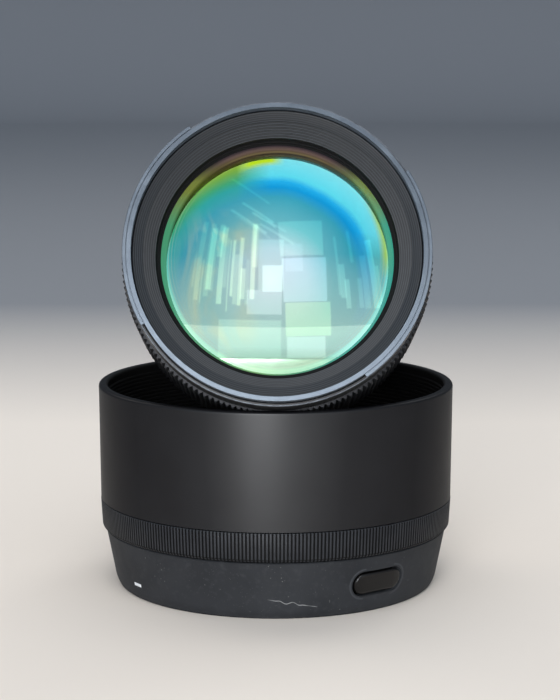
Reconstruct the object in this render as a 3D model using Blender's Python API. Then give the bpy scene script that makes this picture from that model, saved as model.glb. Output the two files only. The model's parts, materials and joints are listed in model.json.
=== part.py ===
"""A fast 85 mm portrait lens lying across its own detached lens hood.

The hood stands on its bayonet end.  The lens lies on top of it: the front barrel
rests on the rim of the hood, and the mount leans on the rim at the back.
Lengths below are in millimetres and become metres where meshes are made.
Rings are drawn as (radius, depth) corners, where depth 0 is the front face of
the lens and grows towards the camera mount.
"""

import math

import bmesh
import bpy
from mathutils import Matrix, Vector

MM = 0.001

# ---------------------------------------------------------------- dimensions

GAP = 0.3                  # clearance kept between pieces that touch

# hood
HOOD_R = 50.2              # outer radius at the rim
HOOD_H = 57.4              # standing height
HOOD_WALL = 2.6            # wall at the rim
BAND_TOP = 24.6            # ribbed grip band
BAND_BOTTOM = 16.6
BAND_R = 49.94
SLEEVE_TOP_R = 48.6        # tapered rubber sleeve under the band
SLEEVE_FOOT_R = 45.9
SLEEVE_FOOT_Z = 3.0
HOOD_BORE_R = 41.2         # bore that slips over the front of the lens
HOOD_FLOOR_Z = 11.0
HOOD_FLOOR_R = 44.6        # inner wall where it meets the floor
RIM_BEVEL = 0.8
SLEEVE_WALL = 1.0
SLEEVE_BOTTOM = 0.4
BAND_SEAT_R = 47.75        # outside of the shell under the band
BAND_FOOT_R = 49.4
HOOD_TAB_R = 39.8          # tabs that catch behind the lugs on the front of the lens
HOOD_TAB_STARTS = (35.0, 215.0)
HOOD_TAB_SPAN = 70.0
HOOD_TAB_Z = (1.2, 2.8)
BUTTON_AZIMUTH = 36.5      # degrees from the front, towards +X
BUTTON_Z = 8.5
BUTTON_LENGTH = 16.0
BUTTON_HEIGHT = 6.0
BUTTON_MARGIN = 0.6        # gap round the button
BUTTON_BACK_R = 44.4
BUTTON_PROUD = 0.35
POCKET_R = 43.0

# how the lens lies on the hood
LENS_TILT = math.radians(16.16)   # the front looks up by this much
LENS_X = 0.5
LENS_FRONT_Y = -48.4       # front ring centre, measured from the hood axis
LENS_FRONT_Z = 99.7

# lens stations along the axis
LUG_THICKNESS = 1.3
BARREL_START = 3.4
BAFFLE_LIP = 4.46          # where the smooth lip turns into the grooved cone
THREAD_END = 9.0
BAFFLE_THROAT = 10.4
BAFFLE_END = 12.0
RETAINER_START = 12.3
RETAINER_END = 14.1
GRIP_START = 14.4
GRIP_END = 47.0
PANEL_START = 47.4
STEP_DEPTH = 54.0          # where the main barrel narrows
PANEL_TAPER = 56.0
PANEL_END = 65.2
STOP_RING_START = 65.6
STOP_RING_END = 78.0
REAR_START = 78.4
FLANGE_FRONT = 91.7
FLANGE_FACE = 94.1
SCREW_END = 88.8
SCREW_HEAD_FRONT = 92.9
BAYONET_LUG_START = 96.4
BAYONET_LUG_END = 98.4
BAYONET_END = 98.6

# lens radii
THREAD_R = 38.14           # inside edge of the filter thread
FRONT_R = 39.33            # filter ring and the groove behind the hood lugs
LUG_R = 40.37
LUG_SPANS = ((125.0, 209.0), (305.0, 392.0))   # degrees round the front ring
BAFFLE_R = THREAD_R - GAP
BAFFLE_LIP_R = 35.32
BAFFLE_THROAT_R = 32.26
RETAINER_R = 37.2
GLASS_EDGE_R = 31.0        # edge of the front glass as seen from the front
GRIP_R = 41.5              # knurled focus grip, the widest part
PANEL_R = 40.6
STOP_RING_R = 36.9
CORE_R = 38.6              # main barrel that everything turns on
CORE_REAR_R = 34.7
CORE_WALL = 0.8
REAR_WALL_R = 31.0
REAR_CELL_R = 24.2
FLANGE_R = 31.6
THROAT_R = 22.9
BAYONET_R = 24.6
BAYONET_LUG_R = 26.5
BAYONET_LUG_FIRST = 61.7   # degrees at which the first lug starts
BAYONET_LUG_SPAN = 58.0
SCREW_CIRCLE_R = 28.6
SCREW_HEAD_R = 1.5
SCREW_SHANK_R = 0.8
CLEAR_R = 18.5             # clear radius of the open iris

# iris
BLADES = 9
IRIS_R = 36.0
IRIS_FRONT = 42.6
RING_FRONT = 44.1          # drive ring
RING_BACK = 45.1
RING_R = 34.4
BOSS_R = 23.8              # boss that the drive ring turns on
BOSS_BACK = 45.2
BLADE_DEPTH = 46.4
COVER_FRONT = 50.4
PIN_R = 0.6
PIVOT_R = 22.0
BLADE_LIFT = 0.12          # how steeply each blade leans over the next one
BLADE_LIFT_ANGLE = math.radians(132.5)
BLADE_CLOSE = math.radians(40.0)
RING_TURN = math.radians(16.0)
DRIVE_PIN = Vector((3.6, -3.6))   # from the blade pivot, blade open

# focus drive
FOCUS_CELL_FRONT = 53.2
FOCUS_CELL_BACK = 60.0
FOCUS_CELL_R = 23.0
FOCUS_GLASS_R = 20.0
ROD_CIRCLE_R = 28.9
ROD_R = 1.15
LEAD_SCREW_R = 1.1
ROD_ANGLES = (20.0, 140.0)
SCREW_ANGLE = 260.0

# switches, as angles round the lens seen from the front
AFL_ANGLE = 48.0           # focus hold button
AFL_R = 3.6
FOCUS_SWITCH_ANGLE = 20.0
CLICK_SWITCH_ANGLE = 160.0
LOCK_SWITCH_ANGLE = 185.0
SWITCH_DEPTH = 51.6
SWITCH_TRAVEL = 3.0
SWITCH_FLOOR_R = 39.4

# facets round a full turn
HOOD_SEGMENTS = 56
OUTER_SEGMENTS = 48
INNER_SEGMENTS = 24

SMOOTH_ANGLE = math.radians(32.0)


# ---------------------------------------------------------------- helpers

def clear_scene():
    for item in list(bpy.data.objects):
        bpy.data.objects.remove(item, do_unlink=True)


def material(name, colour, roughness, metallic=0.0):
    mat = bpy.data.materials.new(name)
    mat.use_nodes = True
    shader = mat.node_tree.nodes["Principled BSDF"]
    shader.inputs["Base Color"].default_value = (*colour, 1.0)
    shader.inputs["Roughness"].default_value = roughness
    shader.inputs["Metallic"].default_value = metallic
    mat.diffuse_color = (*colour, 1.0)
    return mat


def empty(name, parent=None, location=(0, 0, 0), rotation=(0, 0, 0)):
    """Frame that other pieces hang from; location in mm, rotation in radians."""
    frame = bpy.data.objects.new(name, None)
    bpy.context.collection.objects.link(frame)
    frame.parent = parent
    frame.location = Vector(location) * MM
    frame.rotation_euler = rotation
    return frame


def new_object(name, mesh_data, parent, look):
    """Make an object from a bmesh in mm.  Without a look it is a hidden cutter."""
    bmesh.ops.remove_doubles(mesh_data, verts=mesh_data.verts, dist=1e-5)
    bmesh.ops.recalc_face_normals(mesh_data, faces=mesh_data.faces)
    bmesh.ops.scale(mesh_data, vec=(MM, MM, MM), verts=mesh_data.verts)
    mesh = bpy.data.meshes.new(name)
    mesh_data.to_mesh(mesh)
    mesh_data.free()
    item = bpy.data.objects.new(name, mesh)
    bpy.context.collection.objects.link(item)
    item.parent = parent
    if look is None:
        item.hide_render = True
        item.display_type = "WIRE"
    else:
        mesh.materials.append(look)
        mesh.shade_smooth()
        mesh.set_sharp_from_angle(angle=SMOOTH_ANGLE)
    return item


def lathe(name, outline, look, parent, segments):
    """Turn a closed outline of (radius, height) corners about the local Z axis."""
    shape = bmesh.new()
    rings = []
    for radius, height in outline:
        if radius == 0:
            rings.append([shape.verts.new((0, 0, height))] * segments)
            continue
        ring = []
        for step in range(segments):
            angle = math.tau * step / segments
            corner = (radius * math.cos(angle), radius * math.sin(angle), height)
            ring.append(shape.verts.new(corner))
        rings.append(ring)
    for near, far in zip(rings, rings[1:] + rings[:1]):
        for step in range(segments):
            after = (step + 1) % segments
            corners = [near[step], near[after], far[after], far[step]]
            corners = list(dict.fromkeys(corners))
            if len(corners) > 2:
                shape.faces.new(corners)
    return new_object(name, shape, parent, look)


def prism(name, corners, start, end, look, parent, axis="Z"):
    """Extrude a flat outline in mm from start to end along the local Z or X axis."""
    shape = bmesh.new()
    levels = []
    for height in (start, end):
        if axis == "Z":
            levels.append([shape.verts.new((a, b, height)) for a, b in corners])
        else:
            levels.append([shape.verts.new((height, a, b)) for a, b in corners])
    shape.faces.new(reversed(levels[0]))
    shape.faces.new(levels[1])
    count = len(corners)
    for step in range(count):
        after = (step + 1) % count
        shape.faces.new((levels[0][step], levels[0][after], levels[1][after], levels[1][step]))
    return new_object(name, shape, parent, look)


def join(target, tool, operation="DIFFERENCE"):
    """Cut, add or intersect one solid with another."""
    modifier = target.modifiers.new(operation.title(), "BOOLEAN")
    modifier.operation = operation
    modifier.solver = "EXACT"
    modifier.object = tool


def circle(radius, centre=(0, 0), segments=12):
    points = []
    for step in range(segments):
        angle = math.tau * step / segments
        points.append((centre[0] + radius * math.cos(angle), centre[1] + radius * math.sin(angle)))
    return points


def arc(radius, start, end, steps):
    """Points on an arc about the origin, angles in degrees."""
    points = []
    for step in range(steps + 1):
        angle = math.radians(start + (end - start) * step / steps)
        points.append((radius * math.cos(angle), radius * math.sin(angle)))
    return points


def arc_band(inner, outer, start, end, steps=10):
    return arc(outer, start, end, steps) + arc(inner, end, start, steps)


def rectangle(width, height, centre=(0, 0), corner=0.0):
    """Rectangle with its corners cut off at 45 degrees."""
    across = width / 2
    up = height / 2
    points = []
    for side_x, side_y in ((1, 1), (-1, 1), (-1, -1), (1, -1)):
        ends = [(across - corner, up), (across, up - corner)]
        if corner == 0:
            ends = ends[:1]
        if side_x * side_y > 0:
            ends = ends[::-1]
        points += [(centre[0] + side_x * x, centre[1] + side_y * y) for x, y in ends]
    return points


def pill(length, height, centre=(0, 0), steps=6):
    """Outline of a slot with round ends, longest along its first axis."""
    radius = height / 2
    reach = length / 2 - radius
    points = []
    for side, first in ((1, -90), (-1, 90)):
        for step in range(steps + 1):
            angle = math.radians(first + 180 * step / steps)
            x = centre[0] + side * reach + radius * math.cos(angle)
            points.append((x, centre[1] + radius * math.sin(angle)))
    return points


def polar(radius, degrees):
    angle = math.radians(degrees)
    return (radius * math.cos(angle), radius * math.sin(angle))


def sag(curve, radius):
    """Depth that a sphere of this radius of curvature falls back at a radius."""
    size = abs(curve)
    return math.copysign(size - math.sqrt(size * size - radius * radius), curve)


# ---------------------------------------------------------------- start

clear_scene()

satin_black = material("satin_black_shell", (0.018, 0.019, 0.022), 0.38)
rib_rubber = material("ribbed_black_rubber", (0.022, 0.024, 0.028), 0.62)
soft_rubber = material("matte_grey_black_rubber", (0.03, 0.033, 0.04), 0.75)
gloss_black = material("gloss_black_plastic", (0.008, 0.008, 0.009), 0.12)
barrel_black = material("black_anodised_barrel", (0.02, 0.021, 0.024), 0.42)
front_grey = material("blue_grey_front_ring", (0.25, 0.3, 0.36), 0.35, 0.4)
matte_black = material("matte_black_baffle", (0.012, 0.012, 0.013), 0.85)
groove_grey = material("grooved_grey_baffle", (0.05, 0.055, 0.06), 0.55)
alloy = material("machined_aluminium", (0.6, 0.61, 0.63), 0.3, 1.0)
black_alloy = material("black_aluminium", (0.05, 0.05, 0.055), 0.4, 0.7)
chrome = material("chromed_brass_mount", (0.72, 0.72, 0.7), 0.18, 1.0)
steel = material("screw_steel", (0.55, 0.56, 0.58), 0.3, 1.0)
blade_steel = material("blackened_blade_steel", (0.04, 0.04, 0.045), 0.45, 0.6)
seal_rubber = material("mount_seal_rubber", (0.02, 0.02, 0.02), 0.8)
contact_gold = material("gold_contacts_on_black", (0.75, 0.55, 0.2), 0.3, 0.9)
board_green = material("green_circuit_board", (0.02, 0.13, 0.06), 0.5)
motor_silver = material("motor_can_steel", (0.5, 0.5, 0.52), 0.35, 0.9)
glass_front = material("coated_front_glass", (0.1, 0.35, 0.32), 0.05)
glass_inner = material("coated_inner_glass", (0.3, 0.45, 0.5), 0.05)

# The origin is under the middle of the whole outline, from the front ring to the mount.
forward_reach = -LENS_FRONT_Y + FRONT_R * math.sin(LENS_TILT)
rear_reach = (LENS_FRONT_Y + BAYONET_LUG_END * math.cos(LENS_TILT)
              + BAYONET_LUG_R * math.sin(LENS_TILT))
hood_y = (forward_reach - rear_reach) / 2

hood_frame = empty("hood_frame", location=(0, hood_y, 0))
lens_frame = empty(
    "lens_frame",
    location=(LENS_X, hood_y + LENS_FRONT_Y, LENS_FRONT_Z),
    rotation=(math.pi / 2 - LENS_TILT, 0, 0),
)



def lens_ring(name, outline, look, segments=32):
    """Ring on the lens axis, drawn as (radius, depth) corners."""
    turned = [(radius, -depth) for radius, depth in outline]
    return lathe(name, turned, look, lens_frame, segments)


def lens_prism(name, corners, front, back, look, parent=None):
    """Outline in the plane of the front ring, from one depth to another."""
    return prism(name, corners, -back, -front, look, parent or lens_frame)


# ---------------------------------------------------------------- hood


sleeve_slope = (SLEEVE_TOP_R - SLEEVE_FOOT_R) / (BAND_BOTTOM - SLEEVE_FOOT_Z)
sleeve_top = BAND_BOTTOM - 0.4
sleeve_top_r = SLEEVE_FOOT_R + sleeve_slope * (sleeve_top - SLEEVE_FOOT_Z)
shell_foot_r = SLEEVE_FOOT_R - SLEEVE_WALL - GAP
shell_top_r = sleeve_top_r - SLEEVE_WALL - GAP

hood_shade = lathe("hood_shade", [
    (shell_foot_r - 0.2, 0.0),
    (shell_foot_r, SLEEVE_FOOT_Z),
    (shell_top_r, sleeve_top),
    (BAND_SEAT_R, BAND_BOTTOM),
    (BAND_SEAT_R, BAND_TOP + GAP),
    (BAND_R, BAND_TOP + GAP),
    (HOOD_R, HOOD_H - RIM_BEVEL),
    (HOOD_R - 0.3 * RIM_BEVEL, HOOD_H - 0.3 * RIM_BEVEL),
    (HOOD_R - RIM_BEVEL, HOOD_H),
    (HOOD_R - HOOD_WALL + RIM_BEVEL, HOOD_H),
    (HOOD_R - HOOD_WALL, HOOD_H - RIM_BEVEL),
    (HOOD_FLOOR_R + 1.0, HOOD_FLOOR_Z + 2.0),
    (HOOD_FLOOR_R, HOOD_FLOOR_Z),
    (HOOD_BORE_R, HOOD_FLOOR_Z),
    (HOOD_BORE_R, 0.0),
], satin_black, hood_frame, HOOD_SEGMENTS)

hood_grip_band = lathe("hood_grip_band", [
    (BAND_SEAT_R + GAP, BAND_BOTTOM),
    (SLEEVE_TOP_R + GAP, BAND_BOTTOM),
    (BAND_FOOT_R, BAND_BOTTOM + 0.5),
    (BAND_R, BAND_TOP),
    (BAND_SEAT_R + GAP, BAND_TOP),
], rib_rubber, hood_frame, HOOD_SEGMENTS)

hood_rubber_sleeve = lathe("hood_rubber_sleeve", [
    (shell_foot_r + GAP, SLEEVE_BOTTOM),
    (SLEEVE_FOOT_R - 0.6, SLEEVE_BOTTOM),
    (SLEEVE_FOOT_R - 0.2, 1.2),
    (SLEEVE_FOOT_R, SLEEVE_FOOT_Z),
    (sleeve_top_r, sleeve_top),
    (sleeve_top_r - SLEEVE_WALL, sleeve_top),
    (shell_foot_r + GAP, SLEEVE_FOOT_Z),
], soft_rubber, hood_frame, HOOD_SEGMENTS)

# Two tabs inside the bore catch behind the lugs on the front of the lens.
for tab_number, tab_start in enumerate(HOOD_TAB_STARTS, start=1):
    tab = prism(f"hood_tab_tool_{tab_number}",
                arc_band(HOOD_TAB_R, HOOD_BORE_R + 1.0, tab_start, tab_start + HOOD_TAB_SPAN),
                *HOOD_TAB_Z, None, hood_frame)
    join(hood_shade, tab, "UNION")

# Lock button: a curved pill in a pocket that runs through the sleeve into the shell.
button_frame = empty("hood_button_frame", hood_frame, (0, 0, BUTTON_Z),
                     (0, 0, math.radians(BUTTON_AZIMUTH - 90.0)))
pocket_outline = pill(BUTTON_LENGTH + 2 * BUTTON_MARGIN, BUTTON_HEIGHT + 2 * BUTTON_MARGIN)
pocket = prism("hood_button_pocket_tool", pocket_outline,
               POCKET_R, HOOD_R + 2.0, None, button_frame, axis="X")
join(hood_shade, pocket)
join(hood_rubber_sleeve, pocket)

button_face_r = SLEEVE_FOOT_R + sleeve_slope * (BUTTON_Z - SLEEVE_FOOT_Z) + BUTTON_PROUD
hood_lock_button = prism("hood_lock_button", pill(BUTTON_LENGTH, BUTTON_HEIGHT),
                         BUTTON_BACK_R, button_face_r + 4.0, gloss_black, button_frame, axis="X")
button_skin = lathe("hood_button_skin_tool", [
    (30.0, 0.0),
    (button_face_r - sleeve_slope * BUTTON_Z, 0.0),
    (button_face_r + sleeve_slope * BUTTON_Z, 2 * BUTTON_Z),
    (30.0, 2 * BUTTON_Z),
], None, hood_frame, 2 * HOOD_SEGMENTS)
join(hood_lock_button, button_skin, "INTERSECT")

# ---------------------------------------------------------------- lens front

front_ring = lens_ring("front_ring", [
    (THREAD_R, 0.0),
    (FRONT_R, 0.0),
    (FRONT_R, THREAD_END),
    (THREAD_R, THREAD_END),
], front_grey, OUTER_SEGMENTS)

# Two lugs that the hood bayonet turns behind, flush with the filter ring.
for lug_number, (lug_start, lug_end) in enumerate(LUG_SPANS, start=1):
    lug = lens_prism(f"front_lug_tool_{lug_number}",
                     arc_band(FRONT_R - 0.6, LUG_R, lug_start, lug_end, 14), 0.0, LUG_THICKNESS, None)
    join(front_ring, lug, "UNION")

lens_ring("front_barrel", [
    (FRONT_R + GAP, BARREL_START),
    (LUG_R - 0.3, BARREL_START),
    (LUG_R, BARREL_START + 0.3),
    (LUG_R, GRIP_START - 0.4),
    (THREAD_R, GRIP_START - 0.4),
    (THREAD_R, THREAD_END + GAP),
    (FRONT_R + GAP, THREAD_END + GAP),
], barrel_black, OUTER_SEGMENTS)

lens_ring("front_baffle_ring", [
    (BAFFLE_R, BARREL_START),
    (BAFFLE_LIP_R, BAFFLE_LIP),
    (BAFFLE_THROAT_R, BAFFLE_THROAT),
    (BAFFLE_THROAT_R, BAFFLE_END),
    (BAFFLE_R, BAFFLE_END),
], groove_grey)

lens_ring("front_retaining_ring", [
    (BAFFLE_THROAT_R + 0.14, RETAINER_START),
    (RETAINER_R, RETAINER_START),
    (RETAINER_R, RETAINER_END),
    (GLASS_EDGE_R, RETAINER_END),
], matte_black)

# ---------------------------------------------------------------- lens barrels

lens_ring("main_barrel", [
    (CORE_R - CORE_WALL, GRIP_START - 0.1),
    (CORE_R, GRIP_START - 0.1),
    (CORE_R, STEP_DEPTH),
    (CORE_REAR_R, STEP_DEPTH + 6.0),
    (CORE_REAR_R, 80.0),
    (CORE_REAR_R - CORE_WALL, 80.0),
    (CORE_REAR_R - CORE_WALL, STEP_DEPTH + 5.5),
    (CORE_R - CORE_WALL, STEP_DEPTH - 0.5),
], black_alloy)

switch_panel = lens_ring("switch_panel", [
    (CORE_R + GAP, PANEL_START),
    (PANEL_R - 0.3, PANEL_START),
    (PANEL_R, PANEL_START + 0.3),
    (PANEL_R, PANEL_TAPER),
    (STOP_RING_R, PANEL_END),
    (CORE_REAR_R + GAP, PANEL_END),
    (CORE_REAR_R + GAP, STEP_DEPTH + 6.2),
    (CORE_R + GAP, STEP_DEPTH + 0.2),
], barrel_black, OUTER_SEGMENTS)

rear_barrel = lens_ring("rear_barrel", [
    (CORE_REAR_R + GAP, REAR_START),
    (STOP_RING_R - 0.2, REAR_START),
    (STOP_RING_R - 0.2, REAR_START + 2.0),
    (FLANGE_R + 1.7, FLANGE_FRONT - GAP),
    (BAYONET_R + 0.4, FLANGE_FRONT - GAP),
    (BAYONET_R + 0.4, 87.5),
    (REAR_WALL_R, 87.5),
    (REAR_WALL_R, 82.5),
    (CORE_REAR_R + GAP, 80.5),
], barrel_black)

mount_flange = lens_ring("mount_flange", [
    (THROAT_R, FLANGE_FRONT),
    (FLANGE_R, FLANGE_FRONT),
    (FLANGE_R, FLANGE_FACE),
    (BAYONET_R, FLANGE_FACE),
    (BAYONET_R, BAYONET_END),
    (THROAT_R, BAYONET_END),
], chrome)
for lug_number in range(3):
    lug_start = BAYONET_LUG_FIRST + 120.0 * lug_number
    lug = lens_prism(f"bayonet_lug_tool_{lug_number + 1}",
                     arc_band(BAYONET_R - 0.8, BAYONET_LUG_R, lug_start, lug_start + BAYONET_LUG_SPAN, 8),
                     BAYONET_LUG_START, BAYONET_LUG_END, None)
    join(mount_flange, lug, "UNION")

lens_ring("mount_seal", [
    (FLANGE_R + GAP, FLANGE_FRONT),
    (FLANGE_R + 1.3, FLANGE_FRONT),
    (FLANGE_R + 0.9, FLANGE_FACE - 0.2),
    (FLANGE_R + GAP, FLANGE_FACE - 0.2),
], seal_rubber)

for screw_number in range(4):
    place = polar(SCREW_CIRCLE_R, 45.0 + 90.0 * screw_number)
    screw_frame = empty(f"mount_screw_frame_{screw_number + 1}", lens_frame, (*place, 0))
    lathe(f"mount_screw_{screw_number + 1}", [
        (0, -(FLANGE_FACE - 0.2)),
        (SCREW_HEAD_R, -(FLANGE_FACE - 0.2)),
        (SCREW_HEAD_R, -SCREW_HEAD_FRONT),
        (SCREW_SHANK_R, -SCREW_HEAD_FRONT),
        (SCREW_SHANK_R, -SCREW_END),
        (0, -SCREW_END),
    ], steel, screw_frame, 12)
    head_hole = lens_prism(f"screw_head_hole_tool_{screw_number + 1}", circle(SCREW_HEAD_R + GAP),
                           SCREW_HEAD_FRONT - GAP, FLANGE_FACE + 1.0, None, screw_frame)
    shank_hole = lens_prism(f"screw_shank_hole_tool_{screw_number + 1}", circle(SCREW_SHANK_R + GAP),
                            SCREW_END - GAP, FLANGE_FACE - 0.6, None, screw_frame)
    join(mount_flange, head_hole)
    join(mount_flange, shank_hole)
    join(rear_barrel, shank_hole)

lens_prism("contact_block", arc_band(19.6, THROAT_R - GAP, 52.0, 128.0, 10),
           92.0, 98.2, contact_gold)

rear_baffle = lens_prism("rear_baffle", circle(THROAT_R - 0.5, segments=36), 90.2, 91.6, matte_black)
baffle_window = lens_prism("rear_baffle_window_tool", rectangle(29.0, 22.0, corner=3.0),
                           89.0, 93.0, None)
join(rear_baffle, baffle_window)

# ---------------------------------------------------------------- optics



def glass(name, radius, front, front_curve, back, back_curve, look):
    """Element with spherical faces; front and back are depths on the axis."""
    outline = []
    for share in (0.0, 0.5, 1.0):
        outline.append((share * radius, front + sag(front_curve, share * radius)))
    for share in (1.0, 0.5, 0.0):
        outline.append((share * radius, back + sag(back_curve, share * radius)))
    return lens_ring(name, outline, look, INNER_SEGMENTS)


glass("front_glass", radius=33.2,
      front=10.4, front_curve=120.0, back=17.6, back_curve=600.0, look=glass_front)
glass("second_glass", radius=31.0,
      front=19.0, front_curve=60.0, back=24.5, back_curve=110.0, look=glass_inner)
glass("third_glass", radius=28.5,
      front=25.4, front_curve=70.0, back=33.3, back_curve=-600.0, look=glass_inner)
glass("fourth_glass", radius=26.0,
      front=33.7, front_curve=-600.0, back=35.9, back_curve=70.0, look=glass_inner)
glass("rear_group_front_glass", radius=20.4,
      front=71.6, front_curve=60.0, back=80.0, back_curve=-60.0, look=glass_inner)
glass("rear_group_middle_glass", radius=19.0,
      front=80.4, front_curve=-60.0, back=82.2, back_curve=60.0, look=glass_inner)
glass("rear_glass", radius=18.0,
      front=83.6, front_curve=60.0, back=88.6, back_curve=400.0, look=glass_inner)

lens_ring("front_cell", [
    (33.5, 14.6),
    (37.4, 14.6),
    (37.4, 42.2),
    (26.3, 42.2),
    (26.3, 33.0),
    (28.8, 32.8),
    (28.8, 29.6),
    (31.3, 29.4),
    (31.3, 19.4),
    (33.5, 19.2),
], matte_black, INNER_SEGMENTS)

rear_cell = lens_ring("rear_cell", [
    (20.8, 69.8),
    (CORE_REAR_R - CORE_WALL - GAP, 69.8),
    (CORE_REAR_R - CORE_WALL - GAP, 71.2),
    (REAR_CELL_R, 71.2),
    (REAR_CELL_R, 87.0),
    (REAR_CELL_R - 2.0, 89.7),
    (18.4, 89.7),
    (18.4, 85.8),
    (19.4, 85.6),
    (19.4, 77.2),
    (20.8, 77.0),
], matte_black, INNER_SEGMENTS)

# ---------------------------------------------------------------- iris


iris_base = lens_ring("iris_base", [
    (CLEAR_R, IRIS_FRONT),
    (IRIS_R, IRIS_FRONT),
    (IRIS_R, COVER_FRONT - GAP),
    (IRIS_R - 1.2, COVER_FRONT - GAP),
    (IRIS_R - 1.2, IRIS_FRONT + 1.2),
    (BOSS_R, IRIS_FRONT + 1.2),
    (BOSS_R, BOSS_BACK),
    (CLEAR_R, BOSS_BACK),
], black_alloy, INNER_SEGMENTS)

lens_ring("iris_cover", [
    (CLEAR_R, COVER_FRONT),
    (IRIS_R, COVER_FRONT),
    (IRIS_R, COVER_FRONT + 0.8),
    (CLEAR_R, COVER_FRONT + 0.8),
], black_alloy, INNER_SEGMENTS)

iris_drive_ring = lens_ring("iris_drive_ring", [
    (BOSS_R + GAP, RING_FRONT),
    (RING_R, RING_FRONT),
    (RING_R, RING_BACK),
    (BOSS_R + GAP, RING_BACK),
], alloy, INNER_SEGMENTS)


def cam_slot():
    """Outline swept by a drive pin, seen from the turning drive ring."""
    centres = []
    steps = 4
    for step in range(-1, steps + 2):
        share = step / steps
        pin = Vector((PIVOT_R, 0)) + Matrix.Rotation(share * BLADE_CLOSE, 2) @ DRIVE_PIN
        centres.append(Matrix.Rotation(-share * RING_TURN, 2) @ pin)
    half_width = PIN_R + GAP
    left = []
    right = []
    for before, here, after in zip(centres, centres[1:], centres[2:]):
        along = (after - before).normalized()
        side = Vector((-along.y, along.x)) * half_width
        left.append(here + side)
        right.append(here - side)
    start_cap = (centres[1] - centres[2]).normalized() * half_width
    end_cap = (centres[-2] - centres[-3]).normalized() * half_width
    outline = ([point for point in left] + [left[-1] + end_cap, right[-1] + end_cap]
               + right[::-1] + [right[0] + start_cap, left[0] + start_cap])
    return [tuple(point) for point in outline]


def blade(name, parent):
    """Curved leaf that leans over its neighbour, with a pivot pin and a drive pin."""
    band = [(x - PIVOT_R, y) for x, y in arc(23.2, 82, 8, 6)]
    heel = [(4.6, 0.2), (5.3, -3.4), (4.0, -5.3), (2.0, -4.6), (-1.6, -3.6)]
    inner = [(x - PIVOT_R, y) for x, y in arc(18.9, -6, 80, 6)]
    shape = bmesh.new()
    levels = []
    for thickness in (0.0, 0.14):
        level = []
        for x, y in band + heel + inner:
            lean = BLADE_LIFT * (x * math.cos(BLADE_LIFT_ANGLE) + y * math.sin(BLADE_LIFT_ANGLE))
            level.append(shape.verts.new((x, y, -lean - thickness)))
        levels.append(level)
    shape.faces.new(levels[0])
    shape.faces.new(reversed(levels[1]))
    count = len(levels[0])
    for step in range(count):
        after = (step + 1) % count
        shape.faces.new((levels[0][step], levels[1][step], levels[1][after], levels[0][after]))
    leaf = new_object(name, shape, parent, blade_steel)
    pivot = prism(f"{name}_pivot_tool", circle(PIN_R, segments=8), -0.07,
                  BLADE_DEPTH - BOSS_BACK + 0.8, None, parent)
    driver = prism(f"{name}_driver_tool", circle(PIN_R, tuple(DRIVE_PIN), 8), 0.5,
                   BLADE_DEPTH - RING_FRONT - 0.1, None, parent)
    join(leaf, pivot, "UNION")
    join(leaf, driver, "UNION")
    return leaf


slot_outline = cam_slot()
for blade_number in range(BLADES):
    turn = math.tau * blade_number / BLADES
    blade_frame = empty(
        f"iris_blade_frame_{blade_number + 1}", lens_frame,
        (PIVOT_R * math.cos(turn), PIVOT_R * math.sin(turn), -BLADE_DEPTH), (0, 0, turn))
    blade(f"iris_blade_{blade_number + 1}", blade_frame)
    pivot_hole = prism(f"iris_pivot_hole_tool_{blade_number + 1}", circle(PIN_R + 0.2, segments=8),
                       0.0, BLADE_DEPTH - BOSS_BACK + 1.1, None, blade_frame)
    join(iris_base, pivot_hole)
    slot_frame = empty(f"iris_slot_frame_{blade_number + 1}", lens_frame, rotation=(0, 0, turn))
    slot = lens_prism(f"iris_slot_tool_{blade_number + 1}", slot_outline,
                      RING_FRONT - 0.5, RING_BACK + 0.5, None, slot_frame)
    join(iris_drive_ring, slot)

# ---------------------------------------------------------------- focus drive


glass("focus_glass", radius=FOCUS_GLASS_R,
      front=54.0, front_curve=200.0, back=56.0, back_curve=60.0, look=glass_inner)
focus_cell = lens_ring("focus_cell", [
    (FOCUS_GLASS_R + 0.4, FOCUS_CELL_FRONT),
    (FOCUS_CELL_R, FOCUS_CELL_FRONT),
    (FOCUS_CELL_R, FOCUS_CELL_BACK),
    (FOCUS_GLASS_R + 0.4, FOCUS_CELL_BACK),
], black_alloy, INNER_SEGMENTS)
for arm_number, arm_angle in enumerate((*ROD_ANGLES, SCREW_ANGLE), start=1):
    arm_frame = empty(f"focus_arm_frame_{arm_number}", lens_frame,
                      rotation=(0, 0, math.radians(arm_angle)))
    arm = lens_prism(f"focus_arm_tool_{arm_number}", rectangle(9.6, 5.6, (26.8, 0)),
                     54.4, 58.4, None, arm_frame)
    hole = lens_prism(f"focus_hole_tool_{arm_number}", circle(ROD_R + GAP, (ROD_CIRCLE_R, 0), 12),
                      53.0, 60.0, None, arm_frame)
    join(focus_cell, arm, "UNION")
    join(focus_cell, hole)
    join(rear_cell, lens_prism(f"rod_hole_tool_{arm_number}",
                               circle(ROD_R + GAP, (ROD_CIRCLE_R, 0), 12),
                               69.0, 72.0, None, arm_frame))

for rod_number, rod_angle in enumerate(ROD_ANGLES, start=1):
    lens_prism(f"guide_rod_{rod_number}", circle(ROD_R, polar(ROD_CIRCLE_R, rod_angle), 12),
               51.6, 70.9, steel)

screw_frame = empty("lead_screw_frame", lens_frame, (*polar(ROD_CIRCLE_R, SCREW_ANGLE), 0))
lens_prism("lead_screw", circle(LEAD_SCREW_R, segments=12), 51.6, 71.2, steel, screw_frame)
lens_prism("focus_motor", circle(3.2, segments=16), 71.5, 80.0, motor_silver, screw_frame)

lens_ring("focus_ring_sleeve", [
    (CORE_R + GAP, GRIP_START + 0.2),
    (39.6, GRIP_START + 0.2),
    (39.6, GRIP_END - 0.2),
    (CORE_R + GAP, GRIP_END - 0.2),
], alloy)

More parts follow.
